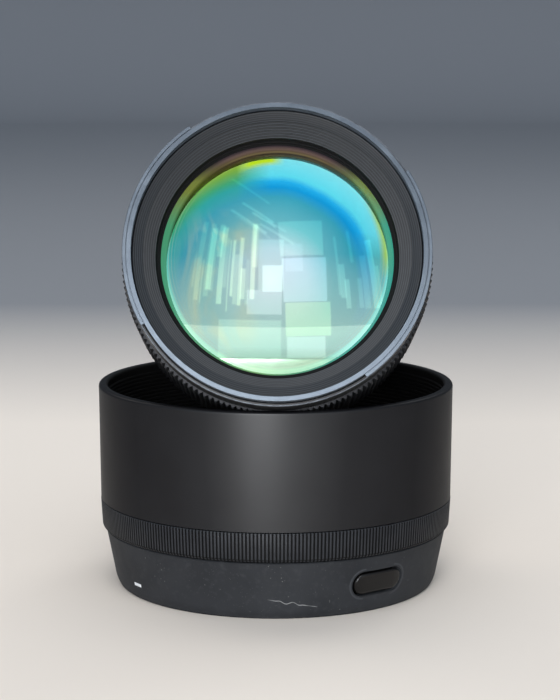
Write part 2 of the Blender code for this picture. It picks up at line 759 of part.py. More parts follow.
lens_ring("focus_grip", [
    (39.9, GRIP_START),
    (GRIP_R - 0.3, GRIP_START),
    (GRIP_R, GRIP_START + 0.3),
    (GRIP_R, GRIP_END - 0.3),
    (GRIP_R - 0.3, GRIP_END),
    (39.9, GRIP_END),
], rib_rubber, OUTER_SEGMENTS)

lens_ring("aperture_ring", [
    (CORE_REAR_R + GAP, STOP_RING_START),
    (STOP_RING_R - 0.3, STOP_RING_START),
    (STOP_RING_R, STOP_RING_START + 0.3),
    (STOP_RING_R, STOP_RING_END - 0.3),
    (STOP_RING_R - 0.3, STOP_RING_END),
    (CORE_REAR_R + GAP, STOP_RING_END),
], barrel_black, OUTER_SEGMENTS)

lens_prism("circuit_board", arc_band(25.0, 30.4, 20.0, 320.0, 24), 83.4, 84.6, board_green)

# ---------------------------------------------------------------- switches



def slide_switch(name, angle):
    """Thumb slider in a flat pocket that runs round the panel."""
    frame = empty(f"{name}_frame", lens_frame, (0, 0, -SWITCH_DEPTH), (0, 0, math.radians(angle)))
    pocket_tool = prism(f"{name}_pocket_tool", rectangle(10.4, 6.4, corner=0.8),
                        SWITCH_FLOOR_R, PANEL_R + 1.0, None, frame, axis="X")
    join(switch_panel, pocket_tool)
    centre = (-SWITCH_TRAVEL / 2, 0)
    plate = prism(name, rectangle(6.4, 5.6, centre, corner=0.5),
                  SWITCH_FLOOR_R + GAP, PANEL_R - 0.45, gloss_black, frame, axis="X")
    thumb = prism(f"{name}_thumb_tool", rectangle(3.0, 4.6, centre, corner=0.4),
                  SWITCH_FLOOR_R + 0.5, PANEL_R + 0.6, None, frame, axis="X")
    join(plate, thumb, "UNION")
    return plate


slide_switch("focus_mode_switch", FOCUS_SWITCH_ANGLE)
slide_switch("click_switch", CLICK_SWITCH_ANGLE)
slide_switch("aperture_lock_switch", LOCK_SWITCH_ANGLE)

afl_frame = empty("focus_hold_button_frame", lens_frame, (0, 0, -SWITCH_DEPTH),
                  (0, 0, math.radians(AFL_ANGLE)))
button_hole = prism("focus_hold_button_hole_tool", circle(AFL_R + GAP), CORE_R - 0.2, PANEL_R + 1.0,
                    None, afl_frame, axis="X")
join(switch_panel, button_hole)
button_turn = empty("focus_hold_button_axis", afl_frame, rotation=(0, math.pi / 2, 0))
lathe("focus_hold_button", [
    (0, 39.3),
    (AFL_R, 39.3),
    (AFL_R, PANEL_R),
    (AFL_R - 0.3, PANEL_R + 0.3),
    (0, PANEL_R + 0.3),
], gloss_black, button_turn, 16)
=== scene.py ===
"""Looks of a fast portrait lens lying across its detached hood.

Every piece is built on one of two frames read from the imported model: the hood's
axis, which stands on the table, and the lens's axis, which starts at its front
ring and points out of the front glass.  Outlines are in millimetres.
"""

import json
import math
import random

import bmesh
import bpy
from mathutils import Matrix, Vector


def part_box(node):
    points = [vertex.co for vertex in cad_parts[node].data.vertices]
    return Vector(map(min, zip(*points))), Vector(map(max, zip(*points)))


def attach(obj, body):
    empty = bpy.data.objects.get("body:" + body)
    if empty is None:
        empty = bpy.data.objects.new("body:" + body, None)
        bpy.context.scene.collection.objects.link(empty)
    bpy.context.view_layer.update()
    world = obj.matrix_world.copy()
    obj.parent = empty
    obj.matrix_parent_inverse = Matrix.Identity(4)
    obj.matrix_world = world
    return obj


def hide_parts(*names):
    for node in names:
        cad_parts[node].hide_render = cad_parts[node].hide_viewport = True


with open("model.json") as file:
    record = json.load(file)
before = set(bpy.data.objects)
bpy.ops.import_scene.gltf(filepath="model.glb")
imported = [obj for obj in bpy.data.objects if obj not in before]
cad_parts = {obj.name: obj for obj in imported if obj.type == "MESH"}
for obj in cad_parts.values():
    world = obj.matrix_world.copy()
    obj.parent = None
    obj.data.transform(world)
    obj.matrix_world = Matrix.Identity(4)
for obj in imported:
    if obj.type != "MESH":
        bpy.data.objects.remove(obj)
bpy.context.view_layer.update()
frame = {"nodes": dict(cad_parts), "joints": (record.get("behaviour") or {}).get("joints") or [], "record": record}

MM = 0.001
mounts = {mount["name"]: mount for mount in frame["record"]["mounts"]}
joints = {joint["name"]: joint for joint in frame["joints"]}


# ---- frames

def lens_matrix():
    """Frame at the centre of the front ring, +Z out of the front, +Y up the ring."""
    forward = Vector(mounts["filter_face"]["axis"]).normalized()
    on_axis = Vector(joints["focus_turn"]["pos_m"])
    face = Vector(mounts["filter_face"]["pos_m"])
    centre = on_axis + forward * (face - on_axis).dot(forward)
    across = Vector((1, 0, 0))
    up = forward.cross(across)
    turn = Matrix((across, up, forward)).transposed()
    return Matrix.Translation(centre) @ turn.to_4x4()


def hood_matrix():
    low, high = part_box("hood_shade")
    return Matrix.Translation(((low.x + high.x) / 2, (low.y + high.y) / 2, 0))


LENS = lens_matrix()
HOOD = hood_matrix()


def span(node, inverse, direction):
    """Smallest and largest radius about an axis, and place along it, of a CAD node in mm."""
    places = [inverse @ vertex.co / MM for vertex in frame["nodes"][node].data.vertices]
    radii = [math.hypot(place.x, place.y) for place in places]
    along = [direction * place.z for place in places]
    return min(radii), max(radii), min(along), max(along)


def lens_span(node):
    """Radii about the lens's axis and depths behind its front ring."""
    return span(node, LENS.inverted(), -1)


def hood_span(node):
    """Radii about the hood's axis and heights."""
    return span(node, HOOD.inverted(), 1)


# ---- materials

def solid(colour):
    return (*colour, 1.0)


def remap(tree, value, start, end, low=0.0, high=1.0, curve="LINEAR"):
    """Map Range node that turns start..end into low..high."""
    node = tree.nodes.new("ShaderNodeMapRange")
    node.interpolation_type = curve
    for name, number in zip(("From Min", "From Max", "To Min", "To Max"), (start, end, low, high)):
        node.inputs[name].default_value = number
    tree.links.new(value, node.inputs["Value"])
    return node.outputs["Result"]


class Look:
    """Writes a node material with a Principled shader; the steps that add to it can be chained."""

    def __init__(self, name, colour, roughness, metallic=0.0, specular=0.5):
        self.material = bpy.data.materials.new(name)
        self.material.use_nodes = True
        self.tree = self.material.node_tree
        self.shader = self.tree.nodes["Principled BSDF"]
        self.place = self.add("ShaderNodeTexCoord").outputs["Object"]
        self.set("Roughness", roughness)
        self.set("Metallic", metallic)
        self.set("Specular IOR Level", specular)
        self.colour = solid(colour)
        self.height = None

    def add(self, kind):
        return self.tree.nodes.new(kind)

    def link(self, source, target):
        self.tree.links.new(source, target)

    def set(self, name, value):
        self.shader.inputs[name].default_value = value

    def feed(self, socket, value):
        """Link a socket or write a plain value."""
        if isinstance(value, bpy.types.NodeSocket):
            self.link(value, socket)
        else:
            socket.default_value = value

    def math(self, operation, *values):
        node = self.add("ShaderNodeMath")
        node.operation = operation
        for socket, value in zip(node.inputs, values):
            self.feed(socket, value)
        return node.outputs[0]

    def plus(self, first, second):
        return self.math("ADD", first, second)

    def minus(self, first, second):
        return self.math("SUBTRACT", first, second)

    def times(self, first, second):
        return self.math("MULTIPLY", first, second)

    def over(self, first, second):
        return self.math("DIVIDE", first, second)

    def noise(self, scale, detail=3.0, rough=0.5, stretch=(1, 1, 1), distortion=0.0):
        """Noise in the piece's own coordinates; scale is in features per metre."""
        mapping = self.add("ShaderNodeMapping")
        mapping.inputs["Scale"].default_value = stretch
        self.link(self.place, mapping.inputs["Vector"])
        node = self.add("ShaderNodeTexNoise")
        for name, value in (("Scale", scale), ("Detail", detail), ("Roughness", rough),
                            ("Distortion", distortion)):
            node.inputs[name].default_value = value
        self.link(mapping.outputs[0], node.inputs["Vector"])
        return node.outputs["Fac"]

    def cells(self, scale, feature="F1"):
        """Distance to the nearest cell point, or to the cell's edge."""
        node = self.add("ShaderNodeTexVoronoi")
        node.feature = feature
        node.inputs["Scale"].default_value = scale
        self.link(self.place, node.inputs["Vector"])
        return node.outputs["Distance"]

    def ramp(self, value, stops):
        """Colour or grey ramp from (position, colour or grey) stops."""
        node = self.add("ShaderNodeValToRGB")
        ramp = node.color_ramp
        while len(ramp.elements) < len(stops):
            ramp.elements.new(0.5)
        for element, (position, shade) in zip(ramp.elements, stops):
            element.position = position
            element.color = solid((shade,) * 3 if isinstance(shade, (int, float)) else shade)
        self.feed(node.inputs[0], value)
        return node.outputs[0]

    def fade(self, value, start, end, share=1.0):
        """Grey that rises from 0 at start to a share at end."""
        return self.ramp(value, [(start, 0.0), (end, share)])

    def mix(self, share, first, second):
        node = self.add("ShaderNodeMix")
        node.data_type = "RGBA"
        for name, value in (("Factor", share), ("A", first), ("B", second)):
            self.feed(node.inputs[name], value)
        return node.outputs["Result"]

    def axes(self):
        split = self.add("ShaderNodeSeparateXYZ")
        self.link(self.place, split.inputs[0])
        return split.outputs

    def length(self, x, y):
        return self.math("SQRT", self.plus(self.times(x, x), self.times(y, y)))

    def radius(self):
        x, y, _ = self.axes()
        return self.length(x, y)

    def painted_light_rings(self, pitch):
        """Sine over the radius: rings of painted light and shade."""
        return self.math("SINE", self.times(self.radius(), math.tau / pitch))

    def band(self, value, centre, half_width, soft):
        """1 inside centre +- half_width, falling to 0 over soft."""
        away = self.math("ABSOLUTE", self.minus(value, centre))
        return remap(self.tree, away, half_width + soft, half_width)

    def tint(self, share, colour):
        """Lay a colour over what is there, by a 0 to 1 share."""
        self.colour = self.mix(share, self.colour, solid(colour))
        return self

    def mottle(self, scale, detail, start, end, share, colour, rough=0.5):
        """Lay a colour over in blotches, where the noise passes start."""
        return self.tint(self.fade(self.noise(scale, detail, rough), start, end, share), colour)

    def rough_by(self, value, low, high):
        self.link(remap(self.tree, value, 0.0, 1.0, low, high), self.shader.inputs["Roughness"])
        return self

    def uneven(self, scale, detail, low, high, rough=0.5):
        """Roughness that wanders from low to high."""
        return self.rough_by(self.noise(scale, detail, rough), low, high)

    def raise_by(self, value, amount):
        """Add a height in metres to the bump."""
        step = self.times(value, amount)
        self.height = step if self.height is None else self.plus(self.height, step)
        return self

    def grain(self, scale, detail, amount):
        return self.raise_by(self.noise(scale, detail), amount)

    def dust(self, scale, threshold, grey, share):
        """Sparse pale specks."""
        speck = self.ramp(self.cells(scale), [(0.0, 1.0), (threshold, 0.0)])
        chance = self.fade(self.noise(scale * 0.21, 1.0), 0.52, 0.6)
        return self.tint(self.times(self.times(speck, chance), share), grey)

    def done(self):
        self.feed(self.shader.inputs["Base Color"], self.colour)
        if self.height is not None:
            bump = self.add("ShaderNodeBump")
            bump.inputs["Distance"].default_value = 1.0
            bump.inputs["Strength"].default_value = 1.0
            self.link(self.height, bump.inputs["Height"])
            self.link(bump.outputs[0], self.shader.inputs["Normal"])
        return self.material


def satin_shell():
    """Injection-moulded black with a very fine even texture, darker at grazing angles."""
    look = Look("satin_shell_visual", (0.0065, 0.0065, 0.0078), 0.36)
    facing = look.add("ShaderNodeLayerWeight").outputs["Facing"]
    sheen = look.ramp(facing, [(0.03, 0.45), (0.1, 0.26), (0.4, 0.08), (0.8, 0.03)])
    look.link(sheen, look.shader.inputs["Specular IOR Level"])
    look.mottle(60, 4, 0.35, 0.75, 0.35, (0.014, 0.015, 0.017)).uneven(140, 4, 0.33, 0.42, 0.6)
    return look.grain(5200, 2, 0.000006).dust(420, 0.035, (0.16, 0.16, 0.17), 0.5).done()


def sleeve_rubber():
    """Dead matte rubber with dust, a scratch and a painted index mark."""
    look = Look("sleeve_rubber_visual", (0.011, 0.0125, 0.0155), 0.7, specular=0.35)
    look.mottle(75, 5, 0.35, 0.7, 0.7, (0.024, 0.026, 0.03), 0.6)
    look.mottle(600, 4, 0.55, 0.8, 0.5, (0.036, 0.038, 0.042))
    look.uneven(300, 4, 0.6, 0.85).grain(2600, 3, 0.00002)
    look.dust(620, 0.1, (0.3, 0.3, 0.29), 0.8).dust(1500, 0.14, (0.16,) * 3, 0.8)
    x, y, z = look.axes()
    azimuth = look.math("ARCTAN2", x, look.times(y, -1.0))
    bend = 0.08
    wave = look.math("SINE", look.times(look.minus(azimuth, bend), 72.0))
    wave = look.times(look.times(wave, look.band(azimuth, bend, 0.04, 0.04)), 0.00038)
    line = look.minus(look.plus(look.minus(z, 0.0054), look.times(azimuth, 0.0083)), wave)
    scratch = look.times(look.band(line, 0.0, 0.00007, 0.00008), look.band(azimuth, 0.1, 0.12, 0.03))
    faint = look.ramp(look.noise(500, 1), [(0.3, 0.25), (0.6, 0.75)])
    look.tint(look.times(scratch, faint), (0.3, 0.3, 0.3))
    mark = look.times(look.band(azimuth, math.radians(-55.5), 0.036, 0.003),
                      look.band(z, 0.0045, 0.0004, 0.00008))
    worn = look.ramp(look.noise(1500, 2), [(0.3, 0.6), (0.5, 1.0)])
    return look.tint(look.times(mark, worn), (0.72, 0.74, 0.76)).done()


def front_ring_paint():
    """Blue-grey anodised edge with fine turning marks and worn high points, and painted light that makes it paler
    below.
    """
    look = Look("front_ring_paint_visual", (0.05, 0.064, 0.082), 0.38, 0.55)
    turned = look.add("ShaderNodeTexWave")
    turned.wave_type = "RINGS"
    turned.rings_direction = "Z"
    turned.inputs["Scale"].default_value = 900.0
    turned.inputs["Distortion"].default_value = 0.6
    look.link(look.place, turned.inputs["Vector"])
    look.raise_by(turned.outputs["Fac"], 0.000004).mottle(120, 4, 0.45, 0.7, 0.6, (0.095, 0.115, 0.14))
    # Painted light: the ring's lower part is tinted paler.
    lower = look.fade(look.plus(look.over(look.axes()[1], -0.08), 0.5), 0.35, 0.9, 0.6)
    look.tint(lower, (0.16, 0.19, 0.225)).uneven(500, 4, 0.32, 0.5)
    return look.dust(800, 0.05, (0.4,) * 3, 0.6).done()


def groove_paint():
    """Anti-glare black with fine rings of painted light and shade, so that the grooves stay visible in flat light.
    """
    look = Look("groove_paint_visual", (0.007, 0.0085, 0.0105), 0.45, specular=0.3)
    # Painted light and shade: paler rings at about the grooves' pitch stand in for their lit lands.
    look.tint(look.fade(look.painted_light_rings(0.00052), 0.0, 0.6), (0.03, 0.035, 0.042))
    look.mottle(90, 4, 0.4, 0.75, 0.4, (0.016, 0.018, 0.02)).uneven(700, 3, 0.42, 0.58)
    return look.dust(900, 0.05, (0.25,) * 3, 0.5).done()


def matte_black(name, colour, lighter):
    """Flat black with a fine rough grain."""
    look = Look(name, colour, 0.75, specular=0.2)
    return look.tint(look.noise(200, 4), lighter).grain(4000, 3, 0.00001).done()


def metal(name, colour, roughness, lighter):
    """Machined metal with fine streaks round its axis."""
    look = Look(name, colour, roughness, 1.0)
    streak = (1, 1, 12)
    look.tint(look.noise(900, 3, stretch=streak), lighter)
    look.rough_by(look.noise(1400, 3, stretch=streak), roughness * 0.8, roughness * 1.3)
    return look.raise_by(look.noise(5000, 2, stretch=streak), 0.000003).done()


def contact_gold():
    """Gold pads in a black holder, spaced round the throat."""
    look = Look("contact_visual", (0.01, 0.01, 0.011), 0.3)
    x, y, _ = look.axes()
    angle = look.math("ARCTAN2", x, y)
    step = look.math("FRACT", look.times(angle, 8.2))
    pad = look.times(look.band(step, 0.5, 0.3, 0.03), look.band(angle, 0.0, 0.58, 0.01))
    look.link(pad, look.shader.inputs["Metallic"])
    return look.tint(pad, (0.83, 0.6, 0.22)).done()


shell_look = satin_shell()
inside = Look("hood_inside_visual", (0.003, 0.003, 0.0035), 0.6, specular=0.18)
inside_look = inside.tint(inside.noise(90, 3), (0.005, 0.0049, 0.0047)).grain(3000, 2, 0.00001).done()
rib_look = (Look("rib_rubber_visual", (0.013, 0.0145, 0.018), 0.5, specular=0.32)
            .mottle(200, 4, 0.4, 0.8, 0.6, (0.026, 0.029, 0.034)).uneven(900, 3, 0.45, 0.6)
            .grain(4000, 2, 0.000008).dust(700, 0.05, (0.2,) * 3, 0.6).done())
sleeve_look = sleeve_rubber()
gloss = Look("gloss_plastic_visual", (0.0025, 0.0022, 0.0022), 0.2, specular=0.3)
gloss_look = (gloss.tint(gloss.noise(150, 3), (0.006, 0.0055, 0.0055))
              .uneven(500, 4, 0.16, 0.28).dust(900, 0.05, (0.2,) * 3, 0.6).done())
barrel_look = (Look("barrel_paint_visual", (0.009, 0.0095, 0.0105), 0.45, specular=0.35)
               .mottle(80, 4, 0.4, 0.8, 0.4, (0.022, 0.023, 0.026)).uneven(400, 4, 0.36, 0.5)
               .grain(6000, 2, 0.000008).dust(600, 0.04, (0.18,) * 3, 0.5).done())
# Pale grey-blue for a painted highlight on the barrel's front lip.
lip_highlight_look = (Look("lip_painted_highlight_visual", (0.12, 0.135, 0.155), 0.45, 0.6)
             .mottle(500, 3, 0.4, 0.7, 0.8, (0.05, 0.055, 0.065)).uneven(800, 3, 0.4, 0.6).done())
ring_look = front_ring_paint()
baffle_look = matte_black("matte_baffle_visual", (0.006, 0.006, 0.0065), (0.012,) * 3)
retainer_look = matte_black("retainer_visual", (0.0016, 0.0015, 0.0019), (0.003, 0.0028, 0.0034))
# Blacker material for painted shade deep in the band's rib gaps.
rib_gap_shade_look = matte_black("rib_gap_painted_shade_visual", (0.0018, 0.0018, 0.0022), (0.004, 0.004, 0.0045))
rim_look = matte_black("pocket_rim_visual", (0.03, 0.032, 0.036), (0.055, 0.058, 0.064))
seal_look = matte_black("seal_visual", (0.012,) * 3, (0.02,) * 3)
groove_look = groove_paint()
chrome_look = metal("chrome_visual", (0.62, 0.62, 0.61), 0.16, (0.75, 0.75, 0.74))
steel_look = metal("steel_visual", (0.45, 0.46, 0.48), 0.28, (0.6, 0.6, 0.62))
alloy_look = metal("alloy_visual", (0.5, 0.51, 0.53), 0.3, (0.62, 0.63, 0.65))
black_metal = metal("black_metal_visual", (0.02, 0.02, 0.022), 0.42, (0.035, 0.035, 0.038))
blade_look = metal("blade_visual", (0.02, 0.02, 0.022), 0.35, (0.03, 0.03, 0.034))
paint_look = (Look("white_paint_visual", (0.7, 0.71, 0.72), 0.5)
              .mottle(1200, 3, 0.5, 0.8, 0.5, (0.45, 0.46, 0.48)).done())
board = Look("board_visual", (0.01, 0.09, 0.04), 0.4)
traces = board.ramp(board.cells(900, "DISTANCE_TO_EDGE"), [(0.0, 1.0), (0.06, 0.0)])
circuit_look = board.tint(traces, (0.3, 0.25, 0.1)).done()
pad_look = contact_gold()

# ---- mesh helpers

SMOOTH_ANGLE = math.radians(30.0)
NUDGE = 1e-6  # keeps a corner that lies on a rib's edge inside that rib


def new_object(name, data, place=None):
    """Object in the scene, at a matrix if one is given."""
    made = bpy.data.objects.new(name, data)
    bpy.context.scene.collection.objects.link(made)
    if place is not None:
        made.matrix_world = place
    return made


def metre_mesh(name, shape):
    """Mesh in metres from a bmesh in mm, with its normals turned out."""
    bmesh.ops.recalc_face_normals(shape, faces=shape.faces)
    bmesh.ops.scale(shape, vec=(MM, MM, MM), verts=shape.verts)
    mesh = bpy.data.meshes.new(name)
    shape.to_mesh(mesh)
    shape.free()
    return mesh


def finish_piece(name, shape, place, look, body, nodes=(), smooth=SMOOTH_ANGLE):
    """Turn a bmesh in mm into a piece that rides on a body and replaces CAD nodes."""
    bmesh.ops.remove_doubles(shape, verts=shape.verts, dist=1e-5)
    mesh = metre_mesh(name, shape)
    mesh.materials.append(look)
    mesh.shade_smooth()
    mesh.set_sharp_from_angle(angle=smooth)
    piece = new_object(name, mesh, place)
    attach(piece, body)
    if nodes:
        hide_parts(*nodes)
    return piece


def second_look(piece, look, chosen):
    """Second look for the faces that are chosen by middle, distance from the axis and normal."""
    piece.data.materials.append(look)
    for face in piece.data.polygons:
        middle = face.center / MM
        if chosen(middle, math.hypot(middle.x, middle.y), face.normal):
            face.material_index = 1


def add_turned(shape, outline, angles, closed_turn=True, relief=None):
    """Sweep (radius, height) corners round Z at the given angles.

    relief(angle, corner number) lowers the radius there, for ribs and knurls.
    """
    columns = []
    for angle in angles:
        column = []
        for number, (radius, height) in enumerate(outline):
            if relief:
                radius -= relief(angle, number)
            column.append(shape.verts.new((radius * math.cos(angle), radius * math.sin(angle), height)))
        columns.append(column)
    pairs = list(zip(columns, columns[1:]))
    if closed_turn:
        pairs.append((columns[-1], columns[0]))
    count = len(outline)
    for near, far in pairs:
        for step in range(count):
            after = (step + 1) % count
            shape.faces.new((near[step], far[step], far[after], near[after]))
    if not closed_turn:
        shape.faces.new(columns[0])
        shape.faces.new(reversed(columns[-1]))


def even_angles(count):
    return [math.tau * step / count for step in range(count)]


def span_angles(start, end, count):
    return [math.radians(start + (end - start) * step / count) for step in range(count + 1)]


def rib_angles(count, shares):
    """Angles of the corners of evenly spaced ribs; shares are places within one rib."""
    return [math.tau * (rib + share) / count for rib in range(count) for share in shares]


def place_in_rib(angle, count):
    """Place of an angle within its rib, from 0 to 1."""
    return (angle * count / math.tau + NUDGE) % 1.0


def lens_outline(corners):
    return [(radius, -depth) for radius, depth in corners]


def turned(name, outline, angles, place, look, body, nodes=(), smooth=SMOOTH_ANGLE, relief=None, lugs=()):
    """Piece turned round Z; lugs are (outline, start, end, steps) that go part of the way round."""
    shape = bmesh.new()
    add_turned(shape, outline, angles, relief=relief)
    for lug, start, end, steps in lugs:
        add_turned(shape, lug, span_angles(start, end, steps), closed_turn=False)
    return finish_piece(name, shape, place, look, body, nodes, smooth)


def lens_turned(name, corners, look, nodes=(), segments=256, smooth=SMOOTH_ANGLE, lugs=()):
    """Turned piece of the lens barrel from (radius, depth) corners."""
    return turned(name, lens_outline(corners), even_angles(segments), LENS, look, "lens_barrel", nodes,
                  smooth, lugs=lugs)


def rounded(corners, size, steps=3):
    """Round every corner of a closed outline that has room for it."""
    result = []
    count = len(corners)
    for number, corner in enumerate(corners):
        here = Vector(corner)
        before = Vector(corners[number - 1])
        after = Vector(corners[(number + 1) % count])
        reach = min(size, (before - here).length * 0.45, (after - here).length * 0.45)
        start = here + (before - here).normalized() * reach
        end = here + (after - here).normalized() * reach
        for step in range(steps + 1):
            share = step / steps
            first = start.lerp(here, share)
            second = here.lerp(end, share)
            result.append(tuple(first.lerp(second, share)))
    return result


def arc(centre, radius, first, sweep, steps):
    """Points on an arc, in degrees."""
    angles = [math.radians(first + sweep * step / steps) for step in range(steps + 1)]
    return [(centre[0] + radius * math.cos(angle), centre[1] + radius * math.sin(angle))
            for angle in angles]


def pill(length, height):
    radius = height / 2
    reach = length / 2 - radius
    return arc((reach, 0), radius, -90, 180, 14) + arc((-reach, 0), radius, 90, 180, 14)


def box(width, height, corner, centre=(0, 0), steps=4):
    """Outline of a rectangle with round corners."""
    points = []
    for side_x, side_y, first in ((1, 1, 0), (-1, 1, 90), (-1, -1, 180), (1, -1, 270)):
        middle = (centre[0] + side_x * (width / 2 - corner), centre[1] + side_y * (height / 2 - corner))
        points += arc(middle, corner, first, 90, steps)
    return points


def disc(radius, steps=48):
    return [(radius * math.cos(angle), radius * math.sin(angle)) for angle in even_angles(steps)]


def boxes(rows, corner, centre=(0, 0)):
    """Levels of round-cornered boxes from (radius, width, height) rows."""
    return [(radius, box(width, height, corner, centre)) for radius, width, height in rows]


def discs(rows, steps=48):
    """Levels of discs from (radius, size) rows."""
    return [(radius, disc(size, steps)) for radius, size in rows]


def stacked(levels):
    """Loops along X from (radius, outline) levels, with the outlines in (Y, Z)."""
    return [[(radius, across, along) for across, along in points] for radius, points in levels]


def add_loops(shape, loops, capped=True):
    """Skin a stack of equal-length point loops."""
    rows = [[shape.verts.new(point) for point in loop] for loop in loops]
    for near, far in zip(rows, rows[1:]):
        count = len(near)
        for step in range(count):
            after = (step + 1) % count
            shape.faces.new((near[step], near[after], far[after], far[step]))
    if capped:
        shape.faces.new(reversed(rows[0]))
        shape.faces.new(rows[-1])


def skinned(name, loops, place, look, body, nodes=(), capped=True, smooth=SMOOTH_ANGLE):
    """Piece that is the skin of a stack of loops."""
    shape = bmesh.new()
    add_loops(shape, loops, capped)
    return finish_piece(name, shape, place, look, body, nodes, smooth)


def carve(target, loops, place):
    """Cut a stack of loops out of a piece with a hidden tool, and remove the tool again."""
    shape = bmesh.new()
    add_loops(shape, loops)
    tool = new_object("pocket_cutter", metre_mesh("pocket_cutter", shape), place)
    cut = target.modifiers.new("Pocket", "BOOLEAN")
    cut.operation = "DIFFERENCE"
    cut.solver = "EXACT"
    cut.object = tool
    bpy.context.view_layer.update()
    carved = bpy.data.meshes.new_from_object(target.evaluated_get(bpy.context.evaluated_depsgraph_get()))
    target.modifiers.remove(cut)
    target.data = carved
    bpy.data.objects.remove(tool)


# ---- hood

_, hood_rim, _, hood_top = hood_span("hood_shade")
band_in, band_r, band_low, band_high = hood_span("hood_grip_band")
sleeve_in, sleeve_r, sleeve_low, sleeve_high = hood_span("hood_rubber_sleeve")
BORE_R = 41.2
FLOOR = 11.0
RIM_WALL = 2.6
RIM_ROUND = 0.85
RIDGE_PITCH = 1.1
RIDGE_DEPTH = 0.28
SHELL_R = 47.7
COLLAR_R = 44.6


def hood_shell():
    """Tube with a rounded rim, fine ridges inside and the bayonet collar."""
    outside = [
        (COLLAR_R - 0.2, 0.0), (COLLAR_R, 0.2), (COLLAR_R, 3.0), (SHELL_R - 0.5, sleeve_high),
        (SHELL_R, band_low), (SHELL_R, band_high + 0.2), (band_r - 0.25, band_high + 0.2),
        (band_r - 0.05, band_high + 0.3),
    ]
    inner_r = hood_rim - RIM_WALL
    rim = []
    for middle, first in ((hood_rim - RIM_ROUND, 0), (inner_r + RIM_ROUND, 90)):
        rim += arc((middle, hood_top - RIM_ROUND), RIM_ROUND, first, 90, 6)
    ridges = []
    height = hood_top - 2.4
    lowest = FLOOR + 2.5
    while height > lowest:
        wall = inner_r - 2.0 * (hood_top - height) / (hood_top - lowest)
        ridges += [(wall + RIDGE_DEPTH, height), (wall, height - RIDGE_PITCH * 0.35),
                   (wall, height - RIDGE_PITCH * 0.7)]
        height -= RIDGE_PITCH
    return outside + rim + ridges + [
        (45.3, FLOOR + 1.2), (COLLAR_R, FLOOR), (BORE_R + 0.3, FLOOR), (BORE_R, FLOOR - 0.3),
        (BORE_R, 0.4), (BORE_R + 0.4, 0.0),
    ]


TAB = [(39.8, 1.4), (40.0, 1.2), (41.4, 1.2), (41.4, 2.8), (40.0, 2.8), (39.8, 2.6)]
hood_shade = turned("hood_shade_shell", hood_shell(), even_angles(320), HOOD, shell_look, "hood",
                    ["hood_shade"], lugs=[(TAB, start, start + 70.0, 28) for start in (35.0, 215.0)])
inside_r = hood_rim - RIM_WALL + 0.6
second_look(hood_shade, inside_look, lambda middle, away, normal: away < inside_r
            and middle.z > 0.2 and normal.dot(Vector((middle.x, middle.y, 0))) < 0)

RIBS = 310
RIB_DEPTH = 0.38
band_corners = [
    (band_in, band_low), (band_r - 1.05, band_low), (band_r - 0.5, band_low + 0.5),
    (band_r - 0.42, band_low + 0.75), (band_r, band_high - 0.25), (band_r - 0.12, band_high),
    (band_in, band_high),
]
band = turned("hood_band_ribs", band_corners, rib_angles(RIBS, (0.0, 0.5, 0.6, 0.9)), HOOD, rib_look,
              "hood", ["hood_grip_band"], relief=lambda angle, number:
              RIB_DEPTH if number in (2, 3, 4) and place_in_rib(angle, RIBS) > 0.55 else 0.0)
# Painted shade: the faces deep in the gaps between the ribs take a blacker material.
second_look(band, rib_gap_shade_look, lambda middle, away, normal:
            band_r - 1.0 < away < band_r - 0.22 and abs(normal.z) < 0.5)

FOOT = 3.0
sleeve_foot_r = sleeve_r - 2.6


def sleeve_radius(height):
    """Outer radius of the tapered sleeve, with its rounded foot."""
    slope = (sleeve_r - sleeve_foot_r) / (sleeve_high - FOOT)
    straight = sleeve_foot_r + slope * (height - FOOT)
    lift = max(0.0, (FOOT - height) / 2.6)
    return straight - 0.55 * lift ** 2.2


BUTTON_Z = 8.5
BUTTON_LENGTH = 16.0
BUTTON_HEIGHT = 6.0
BUTTON_EDGE = 0.9
POCKET_ROOM = 0.6
BEZEL_ROOM = 0.55
button_low, button_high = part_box("hood_lock_button")
button_middle = HOOD.inverted() @ ((button_low + button_high) / 2) / MM
BUTTON_TURN = math.atan2(button_middle.y, button_middle.x)
BUTTON = HOOD @ Matrix.Translation((0, 0, BUTTON_Z * MM)) @ Matrix.Rotation(BUTTON_TURN, 4, "Z")

sleeve_heights = [sleeve_low + 0.25, sleeve_low + 0.6, 1.5, 2.2, 3.0, 6.0, 9.5, 13.0, sleeve_high - 0.25]
sleeve_outline = ([(sleeve_in, sleeve_low), (sleeve_radius(sleeve_low) - 0.3, sleeve_low)]
                  + [(sleeve_radius(height), height) for height in sleeve_heights]
                  + [(sleeve_r - 0.3, sleeve_high), (sleeve_r - 1.0, sleeve_high)])
sleeve = turned("hood_sleeve_rubber", sleeve_outline, even_angles(360), HOOD, sleeve_look, "hood",
                ["hood_rubber_sleeve"])


def on_sleeve(length, height, level):
    """Pill bent onto the sleeve at a level above its surface, in mm."""
    bent = []
    for across, up in pill(length, height):
        surface = sleeve_radius(BUTTON_Z + up) + level
        angle = across / sleeve_radius(BUTTON_Z)
        bent.append((surface * math.cos(angle), surface * math.sin(angle), up))
    return bent


def button_loop(inset, level):
    return on_sleeve(BUTTON_LENGTH - 2 * inset, BUTTON_HEIGHT - 2 * inset, level)


for carved_piece in (sleeve, hood_shade):
    carve(carved_piece, [button_loop(-POCKET_ROOM, level) for level in (-3.4, 2.0)], BUTTON)
bezel_steps = [(0.9, -0.4), (0.9, 0.02), (0.5, 0.04), (0.0, -0.45), (0.0, -2.6), (0.3, -2.6)]
bezel = [button_loop(-BEZEL_ROOM - grow, level) for grow, level in bezel_steps]
skinned("hood_button_bezel", bezel + bezel[:1], BUTTON, rim_look, "hood", capped=False)

